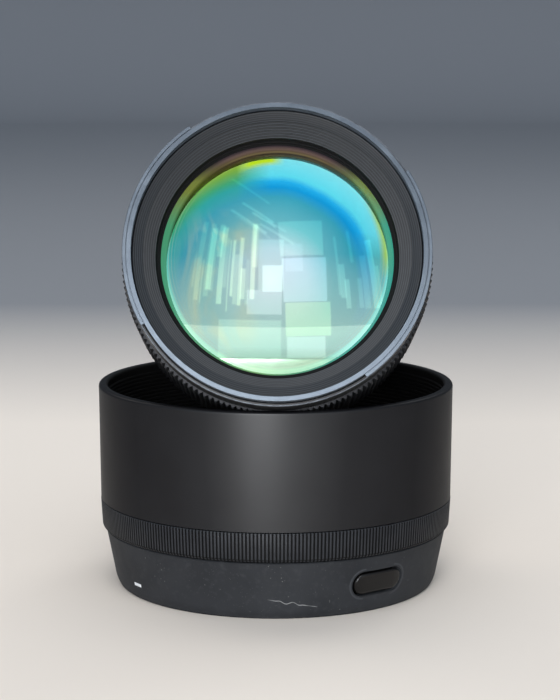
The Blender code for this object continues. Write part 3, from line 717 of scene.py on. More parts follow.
button_loops = [button_loop(0.0, -2.2)]
for step in range(7):
    angle = math.radians(90 * step / 6)
    button_loops.append(button_loop(BUTTON_EDGE * (1 - math.cos(angle)),
                                    0.3 - BUTTON_EDGE * (1 - math.sin(angle))))
button_loops += [button_loop(inset, 0.3) for inset in (1.6, 2.2, 2.7)]
skinned("hood_lock_button_cap", button_loops, BUTTON, gloss_look, "hood_button", ["hood_lock_button"],
        smooth=math.radians(50))

# ---- lens front

LUGS = ((125.0, 209.0), (305.0, 392.0))
FRONT_R = 39.33
THREAD_PITCH = 0.75
thread_r, lug_r, _, _ = lens_span("front_ring")


def thread_corners():
    """V-shaped filter thread, cut outwards from the ring's inner wall."""
    depth = 0.7
    corners = []
    while depth < 3.2:
        corners += [(thread_r, depth), (thread_r + 0.36, depth + THREAD_PITCH / 2)]
        depth += THREAD_PITCH
    return corners + [(thread_r, depth)]


ring_corners = ([(thread_r, 8.9), (FRONT_R, 8.9), (FRONT_R, 0.1), (FRONT_R - 0.08, 0.0),
                 (thread_r - 0.02, 0.0), (thread_r - 0.06, 0.06), (thread_r, 0.3)] + thread_corners())
lug_corners = [(FRONT_R - 0.2, 0.35), (FRONT_R + 0.14, 0.35), (FRONT_R + 0.2, 0.02), (lug_r - 0.12, 0.0),
               (lug_r, 0.12), (lug_r, 1.2), (lug_r - 0.1, 1.3), (FRONT_R - 0.2, 1.3)]
lens_turned("front_ring_and_lugs", ring_corners, ring_look, ["front_ring"], 384,
            lugs=[(lens_outline(lug_corners), start, end, 96) for start, end in LUGS])

_, barrel_r, barrel_front, barrel_back = lens_span("front_barrel")
barrel = lens_turned("front_barrel_shell", [
    (FRONT_R + 0.3, barrel_front), (barrel_r - 0.3, barrel_front), (barrel_r - 0.12, barrel_front + 0.04),
    (barrel_r, barrel_front + 0.16), (barrel_r, barrel_front + 0.5), (barrel_r, 8.0),
    (barrel_r, barrel_back - 0.5), (barrel_r - 0.35, barrel_back),
    (thread_r, barrel_back), (thread_r, 9.3), (FRONT_R + 0.3, 9.3),
], barrel_look, ["front_barrel"], 320)
# Painted highlight: the outer front lip of the barrel takes a pale grey-blue material all round.
second_look(barrel, lip_highlight_look, lambda middle, away, normal:
            middle.z > -(barrel_front + 0.14) and away > barrel_r - 0.25)

throat_r, baffle_r, baffle_front, baffle_back = lens_span("front_baffle_ring")
GROOVES = 12


def groove_corners():
    """Smooth lip, then anti-glare steps down the cone to the glass."""
    start = Vector((35.32, 4.46))
    end = Vector((throat_r, 10.4))
    corners = [(baffle_r, baffle_front), (35.55, 4.3)]
    for groove in range(GROOVES):
        near = start.lerp(end, groove / GROOVES)
        far = start.lerp(end, (groove + 1) / GROOVES)
        corners += [(near.x, near.y), (near.x + 0.05, far.y - 0.02), (far.x, far.y)]
    return corners + [(throat_r, 10.7), (throat_r, 11.9), (throat_r + 0.2, baffle_back),
                      (baffle_r, baffle_back)]


grooves = lens_turned("front_baffle_grooves", groove_corners(), groove_look, ["front_baffle_ring"],
                      320, math.radians(15))
# Painted shade: the risers of the grooves take the darker matte black, so the steps show as lit lands and shaded
# risers.
second_look(grooves, baffle_look, lambda middle, away, normal: abs(normal.z) < 0.3 and -middle.z > 4.4)

glass_lip_r, retain_r, retain_front, retain_back = lens_span("front_retaining_ring")
lens_turned("front_retainer", [
    (32.4, retain_front), (32.1, 12.6), (31.9, 13.1), (31.6, 13.2), (31.4, 13.7), (glass_lip_r + 0.12, 13.8),
    (glass_lip_r, retain_back - 0.1), (glass_lip_r + 0.2, retain_back), (retain_r, retain_back),
    (retain_r, retain_front),
], retainer_look, ["front_retaining_ring"])

# ---- glass

COATING_CENTRE = (-0.002, -0.007)
RING_UNIT = 0.04
GLASS_R = 0.031
BLACK = solid((0.0, 0.0, 0.0))


def sphere_sag(curve, radius):
    """Depth of a spherical face below its crown."""
    return curve - math.sqrt(curve * curve - radius * radius)


def element(name, radius, front, front_curve, back, back_curve, look, node, segments=192):
    """Glass with a front face, a ground edge with small bevels, and a back face."""
    bevel = 0.25
    steps = 20
    aways = [(radius - bevel) * step / steps for step in range(steps + 1)]
    corners = [(away, front + sphere_sag(front_curve, away)) for away in aways]
    corners.append((radius, corners[-1][1] + bevel))
    corners.append((radius, back + sphere_sag(back_curve, radius - bevel) - bevel))
    corners += [(away, back + sphere_sag(back_curve, away)) for away in reversed(aways)]
    lens_turned(name, corners, look, [node], segments, math.radians(40))


def clear_glass(name, tint):
    """Polished glass with faint smears."""
    look = Look(name, tint, 0.01)
    look.mottle(60, 3, 0.4, 0.8, 0.5, tuple(0.97 * c for c in tint))
    look.rough_by(look.fade(look.noise(45, 4, 0.6), 0.45, 0.8), 0.004, 0.05).grain(40, 2, 0.000002)
    look.set("Transmission Weight", 1.0)
    look.set("IOR", 1.52)
    return look.done()


def front_coating_painted_reflection():
    """Front element: a strongly coloured coating, with the room's reflection painted into its colour.

    The painted colours lie in off-centre rings, as the room's reflection does on a coating met more and more
    aslant towards the top.  Deep blue and cyan lie to the right of it, yellow-green
    to the left, with brown rings above and fine concentric lines all round; the rim
    glows with painted light by emission.
    """
    look = Look("front_coating_painted_reflection_visual", (0.1, 0.35, 0.4), 0.03, 1.0)
    x, y, _ = look.axes()
    radius = look.radius()
    edge = look.over(radius, RING_UNIT)
    ring = look.length(look.plus(x, -COATING_CENTRE[0]), look.plus(y, -COATING_CENTRE[1]))
    wander = look.times(look.minus(look.noise(55, 2), 0.5), 0.05)
    ring = look.plus(look.over(ring, RING_UNIT), wander)
    # Painted reflection: the ring colours of the room seen in the coating, cyan and blue on the right,
    # yellow-green on the left.
    right_side = look.ramp(ring, [
        (0.0, (0.88, 0.9, 0.92)), (0.25, (0.66, 0.85, 0.86)), (0.42, (0.22, 0.66, 0.68)),
        (0.58, (0.07, 0.5, 0.58)), (0.65, (0.01, 0.42, 0.78)), (0.69, (0.02, 0.55, 0.95)),
        (0.73, (0.16, 0.92, 1.0)), (0.86, (0.32, 1.0, 1.0)),
    ])
    left_side = look.ramp(ring, [
        (0.0, (0.88, 0.9, 0.9)), (0.25, (0.62, 0.82, 0.8)), (0.42, (0.24, 0.62, 0.6)),
        (0.6, (0.08, 0.48, 0.56)), (0.69, (0.05, 0.5, 0.44)), (0.74, (0.08, 0.5, 0.22)),
        (0.8, (0.26, 0.54, 0.08)), (0.86, (0.5, 0.62, 0.02)),
    ])
    to_right = look.fade(look.plus(look.over(x, 0.03), 0.66), 0.3, 0.6)
    look.colour = look.mix(to_right, left_side, right_side)

    # Painted reflection: a yellow flare above the centre, and pale green fields towards the bottom.
    flare = look.times(look.band(radius, 0.0272, 0.0006, 0.0014), look.math("GREATER_THAN", y, 0.0))
    look.tint(look.times(look.band(x, -0.0045, 0.003, 0.0035), flare), (0.75, 1.0, 0.02))
    below = look.ramp(look.plus(look.over(y, 0.06), 0.5), [(0.5, 1.0), (0.62, 0.0)])
    look.tint(look.times(below, look.fade(ring, 0.6, 0.72, 0.85)), (0.14, 0.6, 0.55))
    look.tint(look.fade(look.plus(look.over(y, -0.06), 0.5), 0.48, 0.8, 0.85), (0.62, 0.86, 0.7))
    look.tint(look.fade(look.over(y, -GLASS_R), 0.76, 0.86, 0.8), (0.34, 0.55, 0.4))
    # Painted reflection: warm pale streaks on the left.
    reflection_streaks = look.fade(look.noise(95, 3, 0.55, (1.0, 0.45, 1.0), 0.8), 0.45, 0.7, 0.6)
    warm_side = look.times(look.band(x, -0.0155, 0.006, 0.006), look.band(y, -0.006, 0.012, 0.008))
    look.tint(look.times(reflection_streaks, warm_side), (0.9, 0.86, 0.5))

    # Painted reflection: fine rings near the rim, a yellow-green arc on the right and brown rings at the top.
    lines = look.fade(look.painted_light_rings(0.0008), 0.2, 0.9, 0.4)
    look.tint(look.times(lines, look.fade(edge, 0.67, 0.72)), (0.6, 0.72, 0.55))
    right_rim = look.times(look.fade(look.over(x, GLASS_R), 0.7, 0.85), look.band(y, 0.007, 0.006, 0.006))
    look.tint(look.times(right_rim, look.fade(edge, 0.68, 0.72, 0.9)), (0.6, 0.8, 0.12))
    top = look.fade(look.over(y, GLASS_R), 0.68, 0.88)
    beyond = look.times(look.minus(edge, 0.72), 12.0)
    brown = look.ramp(beyond, [
        (0.1, (0.75, 0.6, 0.25)), (0.35, (0.8, 0.62, 0.52)), (0.6, (0.35, 0.26, 0.2)),
        (0.8, (0.3, 0.22, 0.3)),
    ])
    look.colour = look.mix(look.times(top, look.fade(edge, 0.715, 0.735)), look.colour, brown)
    look.dust(500, 0.03, (0.6,) * 3, 0.5).uneven(50, 3, 0.015, 0.05)

    # Painted light: the rim and the brown rings glow by emission, though the glass is no lamp.
    glow_rim = look.ramp(edge, [(0.722, 0.0), (0.742, 1.0), (0.785, 1.0), (0.8, 0.5)])
    glow_side = look.ramp(look.plus(look.over(x, 2 * GLASS_R), 0.5), [
        (0.1, (0.06, 0.27, 0.15)), (0.4, (0.13, 0.27, 0.1)), (0.8, (0.04, 0.28, 0.24)),
    ])
    high = look.fade(look.over(y, GLASS_R), 0.3, 0.6)
    glow_side = look.mix(high, glow_side, solid((0.16, 0.19, 0.045)))
    glow = look.mix(look.times(glow_rim, look.minus(1.0, top)), BLACK, glow_side)
    brown_glow = look.ramp(beyond, [
        (0.0, (0.0, 0.0, 0.0)), (0.12, (0.16, 0.13, 0.05)), (0.25, (0.1, 0.07, 0.04)),
        (0.4, (0.15, 0.1, 0.085)), (0.6, (0.06, 0.045, 0.045)), (0.8, (0.03, 0.02, 0.035)),
    ])
    glow = look.mix(look.times(top, 0.9), glow, brown_glow)
    look.feed(look.shader.inputs["Emission Color"], glow)
    look.set("Emission Strength", 1.0)
    look.set("Alpha", 0.8)
    return look.done()


def inner_coating_painted_reflection():
    """Second element, seen faintly behind the first: a coloured metal mirror whose colour is coating tint with
    painted reflection.
    """
    look = Look("inner_coating_painted_reflection_visual", (0.25, 0.6, 0.55), 0.05, 1.0)
    # Painted reflection: blotches of blue and a purple tint towards the rim, over the coating's own tint.
    look.mottle(70, 3, 0.3, 0.7, 0.8, (0.2, 0.45, 0.6))
    look.tint(look.fade(look.over(look.radius(), GLASS_R), 0.5, 0.9), (0.4, 0.2, 0.45))
    return look.uneven(50, 3, 0.02, 0.08).done()


inner_look = clear_glass("inner_glass_visual", (0.9, 0.97, 0.95))
rear_look = clear_glass("rear_glass_visual", (0.75, 0.9, 0.85))
element("front_element", 33.2, 10.4, 120.0, 17.6, 600.0, front_coating_painted_reflection(), "front_glass")
element("second_element", 31.0, 19.0, 60.0, 24.5, 110.0, inner_coating_painted_reflection(), "second_glass")
element("rear_element", 18.0, 83.6, 60.0, 88.6, 400.0, rear_look, "rear_glass", 128)

# ---- focus ring

TEETH = 160
TOOTH_DEPTH = 0.85
TOOTH_SHARES = ((0.0, 1.0), (0.16, 1.0), (0.42, 0.1), (0.58, 0.0), (0.74, 0.1))
grip_in, grip_r, grip_front, grip_back = lens_span("focus_grip")
grip_corners = [
    (grip_in, grip_front), (grip_r - 0.95, grip_front), (grip_r - 0.35, grip_front + 0.1),
    (grip_r, grip_front + 0.55), (grip_r, (grip_front + grip_back) / 2), (grip_r, grip_back - 0.55),
    (grip_r - 0.35, grip_back - 0.1), (grip_r - 0.95, grip_back), (grip_in, grip_back),
]


def tooth_drop(angle, number):
    """How far a grip corner lies below the tips, by its place within a tooth."""
    if number not in (2, 3, 4, 5, 6):
        return 0.0
    place = place_in_rib(angle, TEETH)
    drop = TOOTH_SHARES[0][1]
    for share, level in TOOTH_SHARES:
        if place >= share:
            drop = level
    return drop * (TOOTH_DEPTH if number in (3, 4, 5) else 0.55)


tooth_angles = rib_angles(TEETH, [share for share, _ in TOOTH_SHARES])
turned("focus_grip_teeth", lens_outline(grip_corners), tooth_angles, LENS, rib_look, "focus_ring",
       ["focus_grip"], relief=tooth_drop)

# ---- barrel behind the grip

panel_in, panel_r, panel_front, panel_back = lens_span("switch_panel")
PANEL_TAPER = 56.0
STOP_R = 36.9
panel = lens_turned("switch_panel_shell", rounded([
    (panel_in, panel_front), (panel_r, panel_front), (panel_r, PANEL_TAPER), (STOP_R + 1.0, 61.8),
    (STOP_R, 62.6), (STOP_R, panel_back), (max(panel_in, 35.0), panel_back),
], 0.35), barrel_look, ["switch_panel"])

SWITCH_DEPTH = 51.6
SWITCH_FLOOR_R = 39.4
SWITCHES = {"focus_mode_switch": 20.0, "click_switch": 160.0, "aperture_lock_switch": 185.0}
SWITCH_REST = -1.5
MARK_ACROSS = 3.4
MARK_ALONG = -3.9
HOLD_ANGLE = 48.0
HOLD_R = 3.6


def panel_frame(degrees, depth=SWITCH_DEPTH):
    """Frame on the lens axis whose X points out at an angle, Y round it and Z forward."""
    return LENS @ Matrix.Translation((0, 0, -depth * MM)) @ Matrix.Rotation(math.radians(degrees), 4, "Z")


def switch(name, angle):
    """Pocket in the panel, a sliding plate with a ridged thumb, and a paint mark at each end."""
    place = panel_frame(angle)
    centre = (SWITCH_REST, 0)
    carve(panel, stacked(boxes([(SWITCH_FLOOR_R, 10.4, 6.4), (panel_r + 2.0, 10.4, 6.4)], 1.1)), place)
    plate = boxes([(SWITCH_FLOOR_R + 0.3, 6.4, 5.6), (panel_r - 0.6, 6.4, 5.6), (panel_r - 0.45, 6.1, 5.3)],
                  0.6, centre)
    skinned(f"{name}_plate", stacked(plate), place, gloss_look, name, [name])
    thumb = boxes([(panel_r - 0.5, 3.0, 4.6), (panel_r + 0.4, 2.9, 4.5), (panel_r + 0.6, 2.5, 4.1)],
                  0.5, centre)
    skinned(f"{name}_thumb", stacked(thumb), place, gloss_look, name)
    for rib in (-1, 0, 1):
        ridge = boxes([(panel_r + 0.5, 0.42, 3.6), (panel_r + 0.72, 0.42, 3.6), (panel_r + 0.8, 0.26, 3.4)],
                      0.12, (SWITCH_REST + rib * 0.75, 0))
        skinned(f"{name}_ridge_{rib + 2}", stacked(ridge), place, gloss_look, name)
    surface = math.sqrt(panel_r ** 2 - MARK_ACROSS ** 2)
    for end in (-1, 1):
        mark = boxes([(surface - 0.05, 1.5, 0.5), (surface + 0.03, 1.5, 0.5)], 0.2,
                     (end * MARK_ACROSS, MARK_ALONG))
        skinned(f"{name}_mark_{end + 2}", stacked(mark), place, paint_look, "lens_barrel")


for switch_name, switch_angle in SWITCHES.items():
    switch(switch_name, switch_angle)

hold_place = panel_frame(HOLD_ANGLE)
carve(panel, stacked(discs([(38.4, HOLD_R + 0.3), (panel_r + 2.0, HOLD_R + 0.3)])), hold_place)
hold_levels = discs([(39.3, HOLD_R), (panel_r, HOLD_R), (panel_r + 0.2, HOLD_R - 0.1),
                     (panel_r + 0.3, HOLD_R - 0.35), (panel_r + 0.18, HOLD_R - 1.2),
                     (panel_r + 0.1, HOLD_R - 2.4)])
skinned("focus_hold_cap", stacked(hold_levels), hold_place, gloss_look, "focus_hold_button",
        ["focus_hold_button"])

# ---- aperture ring

KNURLS = 120
KNURL_DEPTH = 0.45
stop_in, stop_r, stop_front, stop_back = lens_span("aperture_ring")
stop_corners = [
    (stop_in, stop_front), (stop_r - 0.5, stop_front), (stop_r, stop_front + 0.4),
    (stop_r, stop_front + 0.9), (stop_r - 0.08, stop_front + 1.1), (stop_r - 0.08, 70.6),
    (stop_r, 70.9), (stop_r, stop_back - 0.4), (stop_r - 0.4, stop_back), (stop_in, stop_back),
]
turned("aperture_ring_knurled", lens_outline(stop_corners), rib_angles(KNURLS, (0.0, 0.25, 0.4, 0.85)), LENS,
       barrel_look, "aperture_ring", ["aperture_ring"], relief=lambda angle, number:
       KNURL_DEPTH if number in (4, 5) and place_in_rib(angle, KNURLS) < 0.3 else 0.0)

STOPS = ("1.4", "2", "2.8", "4", "5.6", "8", "11", "16")
STOP_STEP = 10.0
STOP_DEPTH = 74.4
STOP_SIZE = 2.6
LETTERS_OUT = Matrix(((0, 0, 1, 0), (1, 0, 0, 0), (0, 1, 0, 0), (0, 0, 0, 1)))


def paint_stop(name, text, degrees, body):
    """Painted characters laid round the aperture ring, one by one, read from behind the lens."""
    radius = stop_r + 0.01
    widths = [STOP_SIZE * 0.62 * (0.45 if letter == "." else 1.0) for letter in text]
    pen = -sum(widths) / 2
    for number, (letter, width) in enumerate(zip(text, widths)):
        along = pen + width / 2
        pen += width
        curve = bpy.data.curves.new(f"{name}_{number}", "FONT")
        curve.body = letter
        curve.size = STOP_SIZE * MM
        curve.extrude = 0.03 * MM
        curve.align_x = "CENTER"
        curve.align_y = "CENTER"
        source = new_object(f"{name}_{number}_source", curve)
        bpy.context.view_layer.update()
        mesh = bpy.data.meshes.new_from_object(source)
        bpy.data.objects.remove(source)
        mesh.materials.clear()
        mesh.materials.append(paint_look)
        ring_place = panel_frame(degrees + math.degrees(along / radius), STOP_DEPTH)
        place = ring_place @ Matrix.Translation((radius * MM, 0, 0)) @ LETTERS_OUT
        piece = new_object(f"{name}_{number}", mesh, place)
        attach(piece, body)


for stop_number, stop_label in enumerate(STOPS):
    paint_stop(f"stop_mark_{stop_number}", stop_label, 90.0 - STOP_STEP * stop_number, "aperture_ring")

# ---- rear of the lens

rear_in, rear_r, rear_front, rear_back = lens_span("rear_barrel")
lens_turned("rear_barrel_shell", rounded([
    (rear_in, rear_front), (rear_r, rear_front), (rear_r, 80.6), (rear_r - 0.35, 80.9),
    (rear_r - 0.35, 81.5), (rear_r - 0.1, 81.8), (33.3, rear_back - 0.6), (33.0, rear_back),
    (rear_in, rear_back),
], 0.3), barrel_look, ["rear_barrel"])
index_line = boxes([(rear_r - 0.1, 0.6, 1.6), (rear_r + 0.02, 0.6, 1.6)], 0.15)
skinned("stop_index_line", stacked(index_line), panel_frame(90.0, 79.5), paint_look, "lens_barrel")

FLANGE_FACE = 94.1
SCREW_CIRCLE = 28.6
HEAD_R = 1.5
_, flange_r, flange_front, bayonet_end = lens_span("mount_flange")
flange = lens_turned("mount_flange_disc", rounded([
    (24.0, flange_front), (flange_r, flange_front), (flange_r, FLANGE_FACE), (26.6, FLANGE_FACE),
    (26.3, FLANGE_FACE - 0.25), (25.2, FLANGE_FACE - 0.25), (24.0, FLANGE_FACE - 0.25),
], 0.18), chrome_look, ["mount_flange"], 192)


def screw_frame(number):
    """Frame at a mount screw's head with X pointing out of the back of the lens."""
    angle = math.radians(45.0 + 90.0 * number)
    centre = Matrix.Translation((SCREW_CIRCLE * math.cos(angle) * MM, SCREW_CIRCLE * math.sin(angle) * MM,
                                 -(FLANGE_FACE - 0.2) * MM))
    return LENS @ centre @ Matrix.Rotation(math.radians(90), 4, "Y") @ Matrix.Rotation(angle, 4, "X")


for screw_number in range(4):
    place = screw_frame(screw_number)
    carve(flange, stacked(discs([(-0.6, HEAD_R + 0.25), (1.0, HEAD_R + 0.25)], 32)), place)
    head = discs([(-1.0, HEAD_R), (-0.35, HEAD_R), (-0.1, HEAD_R - 0.12), (0.0, HEAD_R - 0.4)], 32)
    screw = skinned(f"mount_screw_head_{screw_number + 1}", stacked(head), place, steel_look,
                    "lens_barrel", [f"mount_screw_{screw_number + 1}"])
    for width, height in ((1.7, 0.34), (0.34, 1.7)):
        carve(screw, stacked(boxes([(-0.5, width, height), (0.5, width, height)], 0.1)), place)


def block(inner, outer, near, far, corner):
    """Corners of a round-cornered block between two radii and two depths."""
    return rounded([(inner, near), (outer, near), (outer, far), (inner, far)], corner)


bayonet_lug = lens_outline(block(24.2, 26.5, 96.4, 98.4, 0.25))
lug_starts = [61.7 + 120.0 * lug_number for lug_number in range(3)]
lens_turned("bayonet_tube_and_lugs", block(22.9, 24.6, FLANGE_FACE - 2.0, bayonet_end, 0.25), chrome_look,
            segments=192, lugs=[(bayonet_lug, start, start + 58.0, 40) for start in lug_starts])

seal_in, seal_r, seal_front, seal_back = lens_span("mount_seal")
lens_turned("mount_seal_lip", rounded([
    (seal_in, seal_front), (seal_r, seal_front), (seal_r - 0.4, seal_back), (seal_in, seal_back),
], 0.2), seal_look, ["mount_seal"], 192)

contact_shape = bmesh.new()
add_turned(contact_shape, lens_outline(block(19.7, 22.5, 92.1, 98.1, 0.3)), span_angles(52.0, 128.0, 60),
           closed_turn=False)
finish_piece("contact_holder", contact_shape, LENS, gloss_look, "lens_barrel", ["contact_block"])
CONTACTS = 10
CONTACT_STEP = 7.0
for contact_number in range(CONTACTS):
    contact_angle = math.radians(90.0 + (contact_number - (CONTACTS - 1) / 2) * CONTACT_STEP)
    place = (LENS @ Matrix.Rotation(contact_angle, 4, "Z")
             @ Matrix.Translation((21.1 * MM, 0, -98.05 * MM)) @ Matrix.Rotation(math.radians(90), 4, "Y"))
    pad = boxes([(-0.05, 1.2, 1.7), (0.1, 1.0, 1.5)], 0.3)
    skinned(f"gold_contact_{contact_number + 1}", stacked(pad), place, pad_look, "lens_barrel")

BAFFLE_FRONT = -90.3
BAFFLE_BACK = -91.5
BAFFLE_R = 22.3
window_points = box(29.0, 22.0, 3.0, steps=11)
outer_points = []
for across, along in window_points:
    angle = math.atan2(along, across)
    outer_points.append((BAFFLE_R * math.cos(angle), BAFFLE_R * math.sin(angle)))
baffle_rows = [[(x, y, level) for x, y in points] for points, level in (
    (outer_points, BAFFLE_FRONT), (outer_points, BAFFLE_BACK),
    (window_points, BAFFLE_BACK), (window_points, BAFFLE_FRONT), (outer_points, BAFFLE_FRONT))]
skinned("rear_baffle_plate", baffle_rows, LENS, baffle_look, "lens_barrel", ["rear_baffle"], capped=False)

# ---- inner pieces kept from the CAD

KEPT_LOOKS = (
    (alloy_look, ("focus_ring_sleeve", "iris_drive_ring")),
    (black_metal, ("main_barrel", "iris_base", "iris_cover", "focus_cell")),
    (baffle_look, ("front_cell", "rear_cell")),
    (inner_look, ("third_glass", "fourth_glass", "rear_group_front_glass", "rear_group_middle_glass",
                  "focus_glass")),
    (steel_look, ("guide_rod_1", "guide_rod_2", "lead_screw", "focus_motor")),
    (circuit_look, ("circuit_board",)),
    (blade_look, [f"iris_blade_{number}" for number in range(1, 10)]),
)
for kept_look, kept_names in KEPT_LOOKS:
    for kept_name in kept_names:
        for slot in frame["nodes"][kept_name].material_slots:
            slot.material = kept_look

# ---- floor, light, camera

SKY_COLOUR = (0.78, 0.88, 1.0)
FLOOR_R = 2.6
COVE = 0.3


def floor_look():
    """Pale table that turns grey-blue far behind the object, and glows far before it."""
    look = Look("studio_floor_visual", (0.74, 0.67, 0.6), 0.8)
    look.mottle(5, 3, 0.3, 0.8, 0.3, (0.68, 0.62, 0.56))
    _, y, _ = look.axes()
    look.tint(look.fade(look.times(y, 1.25), 0.3, 0.75, 0.92), (0.15, 0.165, 0.19)).grain(900, 2, 0.00001)
    glow = look.mix(look.fade(look.times(y, -0.4), 0.5, 0.85), BLACK, solid(SKY_COLOUR))
    look.feed(look.shader.inputs["Emission Color"], glow)
    look.set("Emission Strength", 0.72)
    return look.done()


def studio_bowl():
    """Round floor that curves up into a low wall on every side."""
    profile = [(0.0, 0.0), (0.4, 0.0), (1.0, 0.0), (FLOOR_R, 0.0)]
    for step in range(1, 13):
        angle = math.radians(90 * step / 12)
        profile.append((FLOOR_R + COVE * math.sin(angle), COVE - COVE * math.cos(angle)))
    profile.append((FLOOR_R + COVE, 0.4))
    shape = bmesh.new()
    columns = [[shape.verts.new((radius * math.cos(angle), radius * math.sin(angle), height))
                for radius, height in profile] for angle in even_angles(72)]
    for near, far in zip(columns, columns[1:] + columns[:1]):
        for step in range(len(profile) - 1):
            shape.faces.new((near[step], far[step], far[step + 1], near[step + 1]))
    bmesh.ops.remove_doubles(shape, verts=shape.verts, dist=1e-6)
    mesh = bpy.data.meshes.new("studio_floor")
    shape.to_mesh(mesh)
    shape.free()
    mesh.shade_smooth()
    mesh.materials.append(floor_look())
    floor = new_object("studio_floor", mesh)


OBJECT_CENTRE = Vector((0, -0.03, 0.09))


def soft_box(name, azimuth, elevation, distance, width, height, radiance, colour=(1, 1, 1)):
    """Soft rectangle aimed at the object; azimuth 0 is the camera's side, + is to its right."""
    light = bpy.data.lights.new(name, "AREA")
    light.shape = "RECTANGLE"
    light.size = width
    light.size_y = height
    light.energy = radiance * math.pi * width * height
    light.color = colour
    lamp = new_object(name, light)
    turn = math.radians(azimuth)
    rise = math.radians(elevation)
    way = Vector((math.sin(turn) * math.cos(rise), -math.cos(turn) * math.cos(rise), math.sin(rise)))
    lamp.location = OBJECT_CENTRE + way * distance
    lamp.rotation_euler = (-way).to_track_quat("-Z", "Y").to_euler()
    return lamp


def glass_collection(name):
    made = bpy.data.collections.new(name)
    for glass in ("front_element", "second_element"):
        made.objects.link(bpy.data.objects[glass])
    return made


studio_bowl()
WINDOW_DISTANCE = 1.8
WINDOW_PANES = (
    # azimuth, elevation, width and height in degrees, radiance, colour
    (7.7, 31.6, 12.2, 10.0, 0.26, (0.9, 1.0, 0.8)),
    (8.2, 19.6, 12.6, 12.6, 0.4, (0.85, 0.85, 1.0)),
    (8.9, 8.3, 13.0, 9.6, 0.36, (0.95, 1.0, 0.5)),
    (8.2, -0.4, 11.0, 7.4, 0.42, (1.0, 0.85, 0.9)),
    (5.2, 26.0, 5.0, 8.0, 0.12, (1.0, 0.9, 1.0)),
    (-2.0, 24.0, 7.2, 14.6, 0.24, (0.9, 1.0, 0.9)),
    (-1.6, 20.0, 5.6, 7.6, 0.42, (0.95, 1.0, 1.0)),
    (-3.9, 13.2, 10.0, 7.0, 0.3, (1.0, 0.88, 0.98)),
    (-8.0, 1.6, 18.0, 13.0, 0.22, (0.9, 1.0, 0.85)),
)
SLAT_GROUPS = (
    # first and last azimuth, lowest and highest elevation, how many, colour
    (-26.0, -6.0, 10.0, 36.0, 17, (1.0, 1.0, 0.6)),
    (17.0, 32.0, 8.0, 33.0, 8, (0.9, 1.0, 0.85)),
)
BEAMS = 7
BEAM_TURN = math.radians(58.0)
BEAM_COLOUR = (1.0, 0.9, 0.75)
seen_in_glass = glass_collection("seen_in_glass")


def reflected_card(name, azimuth, elevation, wide, tall, radiance, colour):
    """Lit card that only the glass shows, sized by the angle it fills."""
    width = 2 * WINDOW_DISTANCE * math.tan(math.radians(wide / 2))
    height = 2 * WINDOW_DISTANCE * math.tan(math.radians(tall / 2))
    card = soft_box(name, azimuth, elevation, WINDOW_DISTANCE, width, height, radiance, colour)
    card.light_linking.receiver_collection = seen_in_glass
    return card


for pane_number, pane in enumerate(WINDOW_PANES):
    reflected_card(f"window_pane_{pane_number + 1}", *pane)
draw = random.Random(4)
for group_number, (first, last, lowest, highest, amount, colour) in enumerate(SLAT_GROUPS):
    for slat_number in range(amount):
        azimuth = first + (last - first) * (slat_number + draw.uniform(0.1, 0.9)) / amount
        tall = draw.uniform(0.3, 0.9) * (highest - lowest)
        elevation = draw.uniform(lowest + tall / 2, highest - tall / 2)
        reflected_card(f"slat_{group_number + 1}_{slat_number + 1}", azimuth, elevation,
                       draw.uniform(0.3, 1.7), tall, draw.uniform(0.12, 0.5), colour)
for beam_number in range(BEAMS):
    azimuth = draw.uniform(-11.0, 1.0)
    beam = reflected_card(f"beam_{beam_number + 1}", azimuth, 31.0 - azimuth * 0.9 + draw.uniform(-6.0, 6.0),
                          draw.uniform(0.3, 0.8), draw.uniform(6.0, 13.0), draw.uniform(0.12, 0.3),
                          BEAM_COLOUR)
    beam.rotation_euler.rotate_axis("Z", BEAM_TURN)

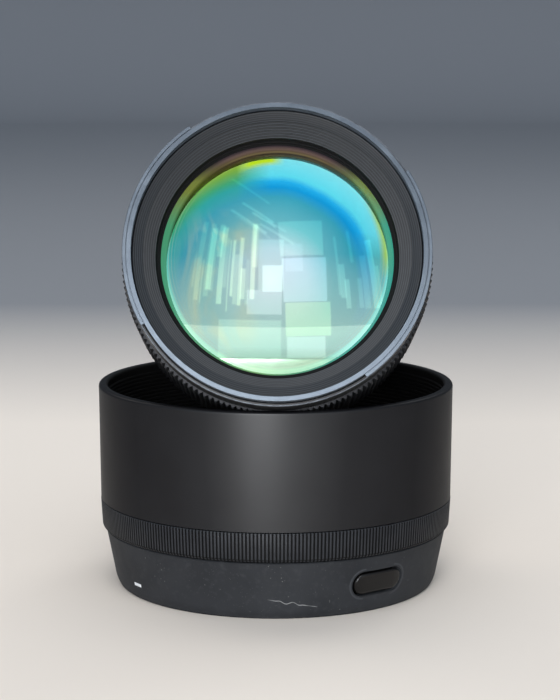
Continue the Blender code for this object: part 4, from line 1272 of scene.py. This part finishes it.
key = soft_box("soft_key", -9.0, 11.0, 1.6, 0.6, 0.8, 13.0, (0.95, 0.97, 1.0))
upper_key = soft_box("upper_key", 4.0, 52.0, 1.5, 0.6, 0.5, 5.0, (1.0, 0.97, 0.92))
unlit = glass_collection("not_lit_by_key")
for lamp in (key, upper_key):
    lamp.light_linking.receiver_collection = unlit
for member in unlit.collection_objects:
    member.light_linking.link_state = "EXCLUDE"
soft_box("left_strip", -50.0, 15.0, 1.7, 0.14, 0.8, 2.5, (0.95, 1.0, 1.0))
soft_box("right_strip", 48.0, 12.0, 1.7, 0.1, 0.6, 2.5, (1.0, 0.98, 0.9))
soft_box("rear_left_box", -128.0, 34.0, 1.7, 0.7, 0.7, 2.4, (1.0, 0.95, 0.88))
soft_box("rear_right_box", 138.0, 38.0, 1.7, 0.7, 0.7, 2.4, (0.93, 0.97, 1.0))
soft_box("top_box", 180.0, 75.0, 1.6, 1.2, 1.2, 1.9)


def studio_world():
    """Even sky-coloured light, stronger from the camera's side of the room and from above."""
    world = bpy.data.worlds.new("studio_world")
    world.use_nodes = True
    tree = world.node_tree
    background = tree.nodes["Background"]
    background.inputs["Color"].default_value = solid(SKY_COLOUR)
    place = tree.nodes.new("ShaderNodeTexCoord")
    split = tree.nodes.new("ShaderNodeSeparateXYZ")
    tree.links.new(place.outputs["Generated"], split.inputs[0])
    strength = tree.nodes.new("ShaderNodeMath")
    strength.operation = "MULTIPLY"
    spread = remap(tree, split.outputs["Y"], 0.35, -0.75, 0.22, 0.85, "SMOOTHSTEP")
    rise = remap(tree, split.outputs["Z"], 0.35, 0.8, 1.0, 1.2, "SMOOTHSTEP")
    tree.links.new(spread, strength.inputs[0])
    tree.links.new(rise, strength.inputs[1])
    tree.links.new(strength.outputs[0], background.inputs["Strength"])
    bpy.context.scene.world = world


studio_world()

CAMERA_LENS = 111.9
CAMERA_DISTANCE = 0.6105
CAMERA_HEIGHT = 0.1605
CAMERA_ASIDE = 0.0012
CAMERA_DOWN = 8.79
camera_data = bpy.data.cameras.new("photo_camera")
camera_data.lens = CAMERA_LENS
camera_data.sensor_width = 36.0
camera_data.clip_start = 0.02
camera_data.clip_end = 20.0
camera = new_object("photo_camera", camera_data)
camera.location = (CAMERA_ASIDE, HOOD.translation.y - CAMERA_DISTANCE, CAMERA_HEIGHT)
camera.rotation_euler = (math.radians(90.0 - CAMERA_DOWN), 0.0, 0.0)
bpy.context.scene.camera = camera
bpy.context.scene.view_settings.view_transform = "Standard"
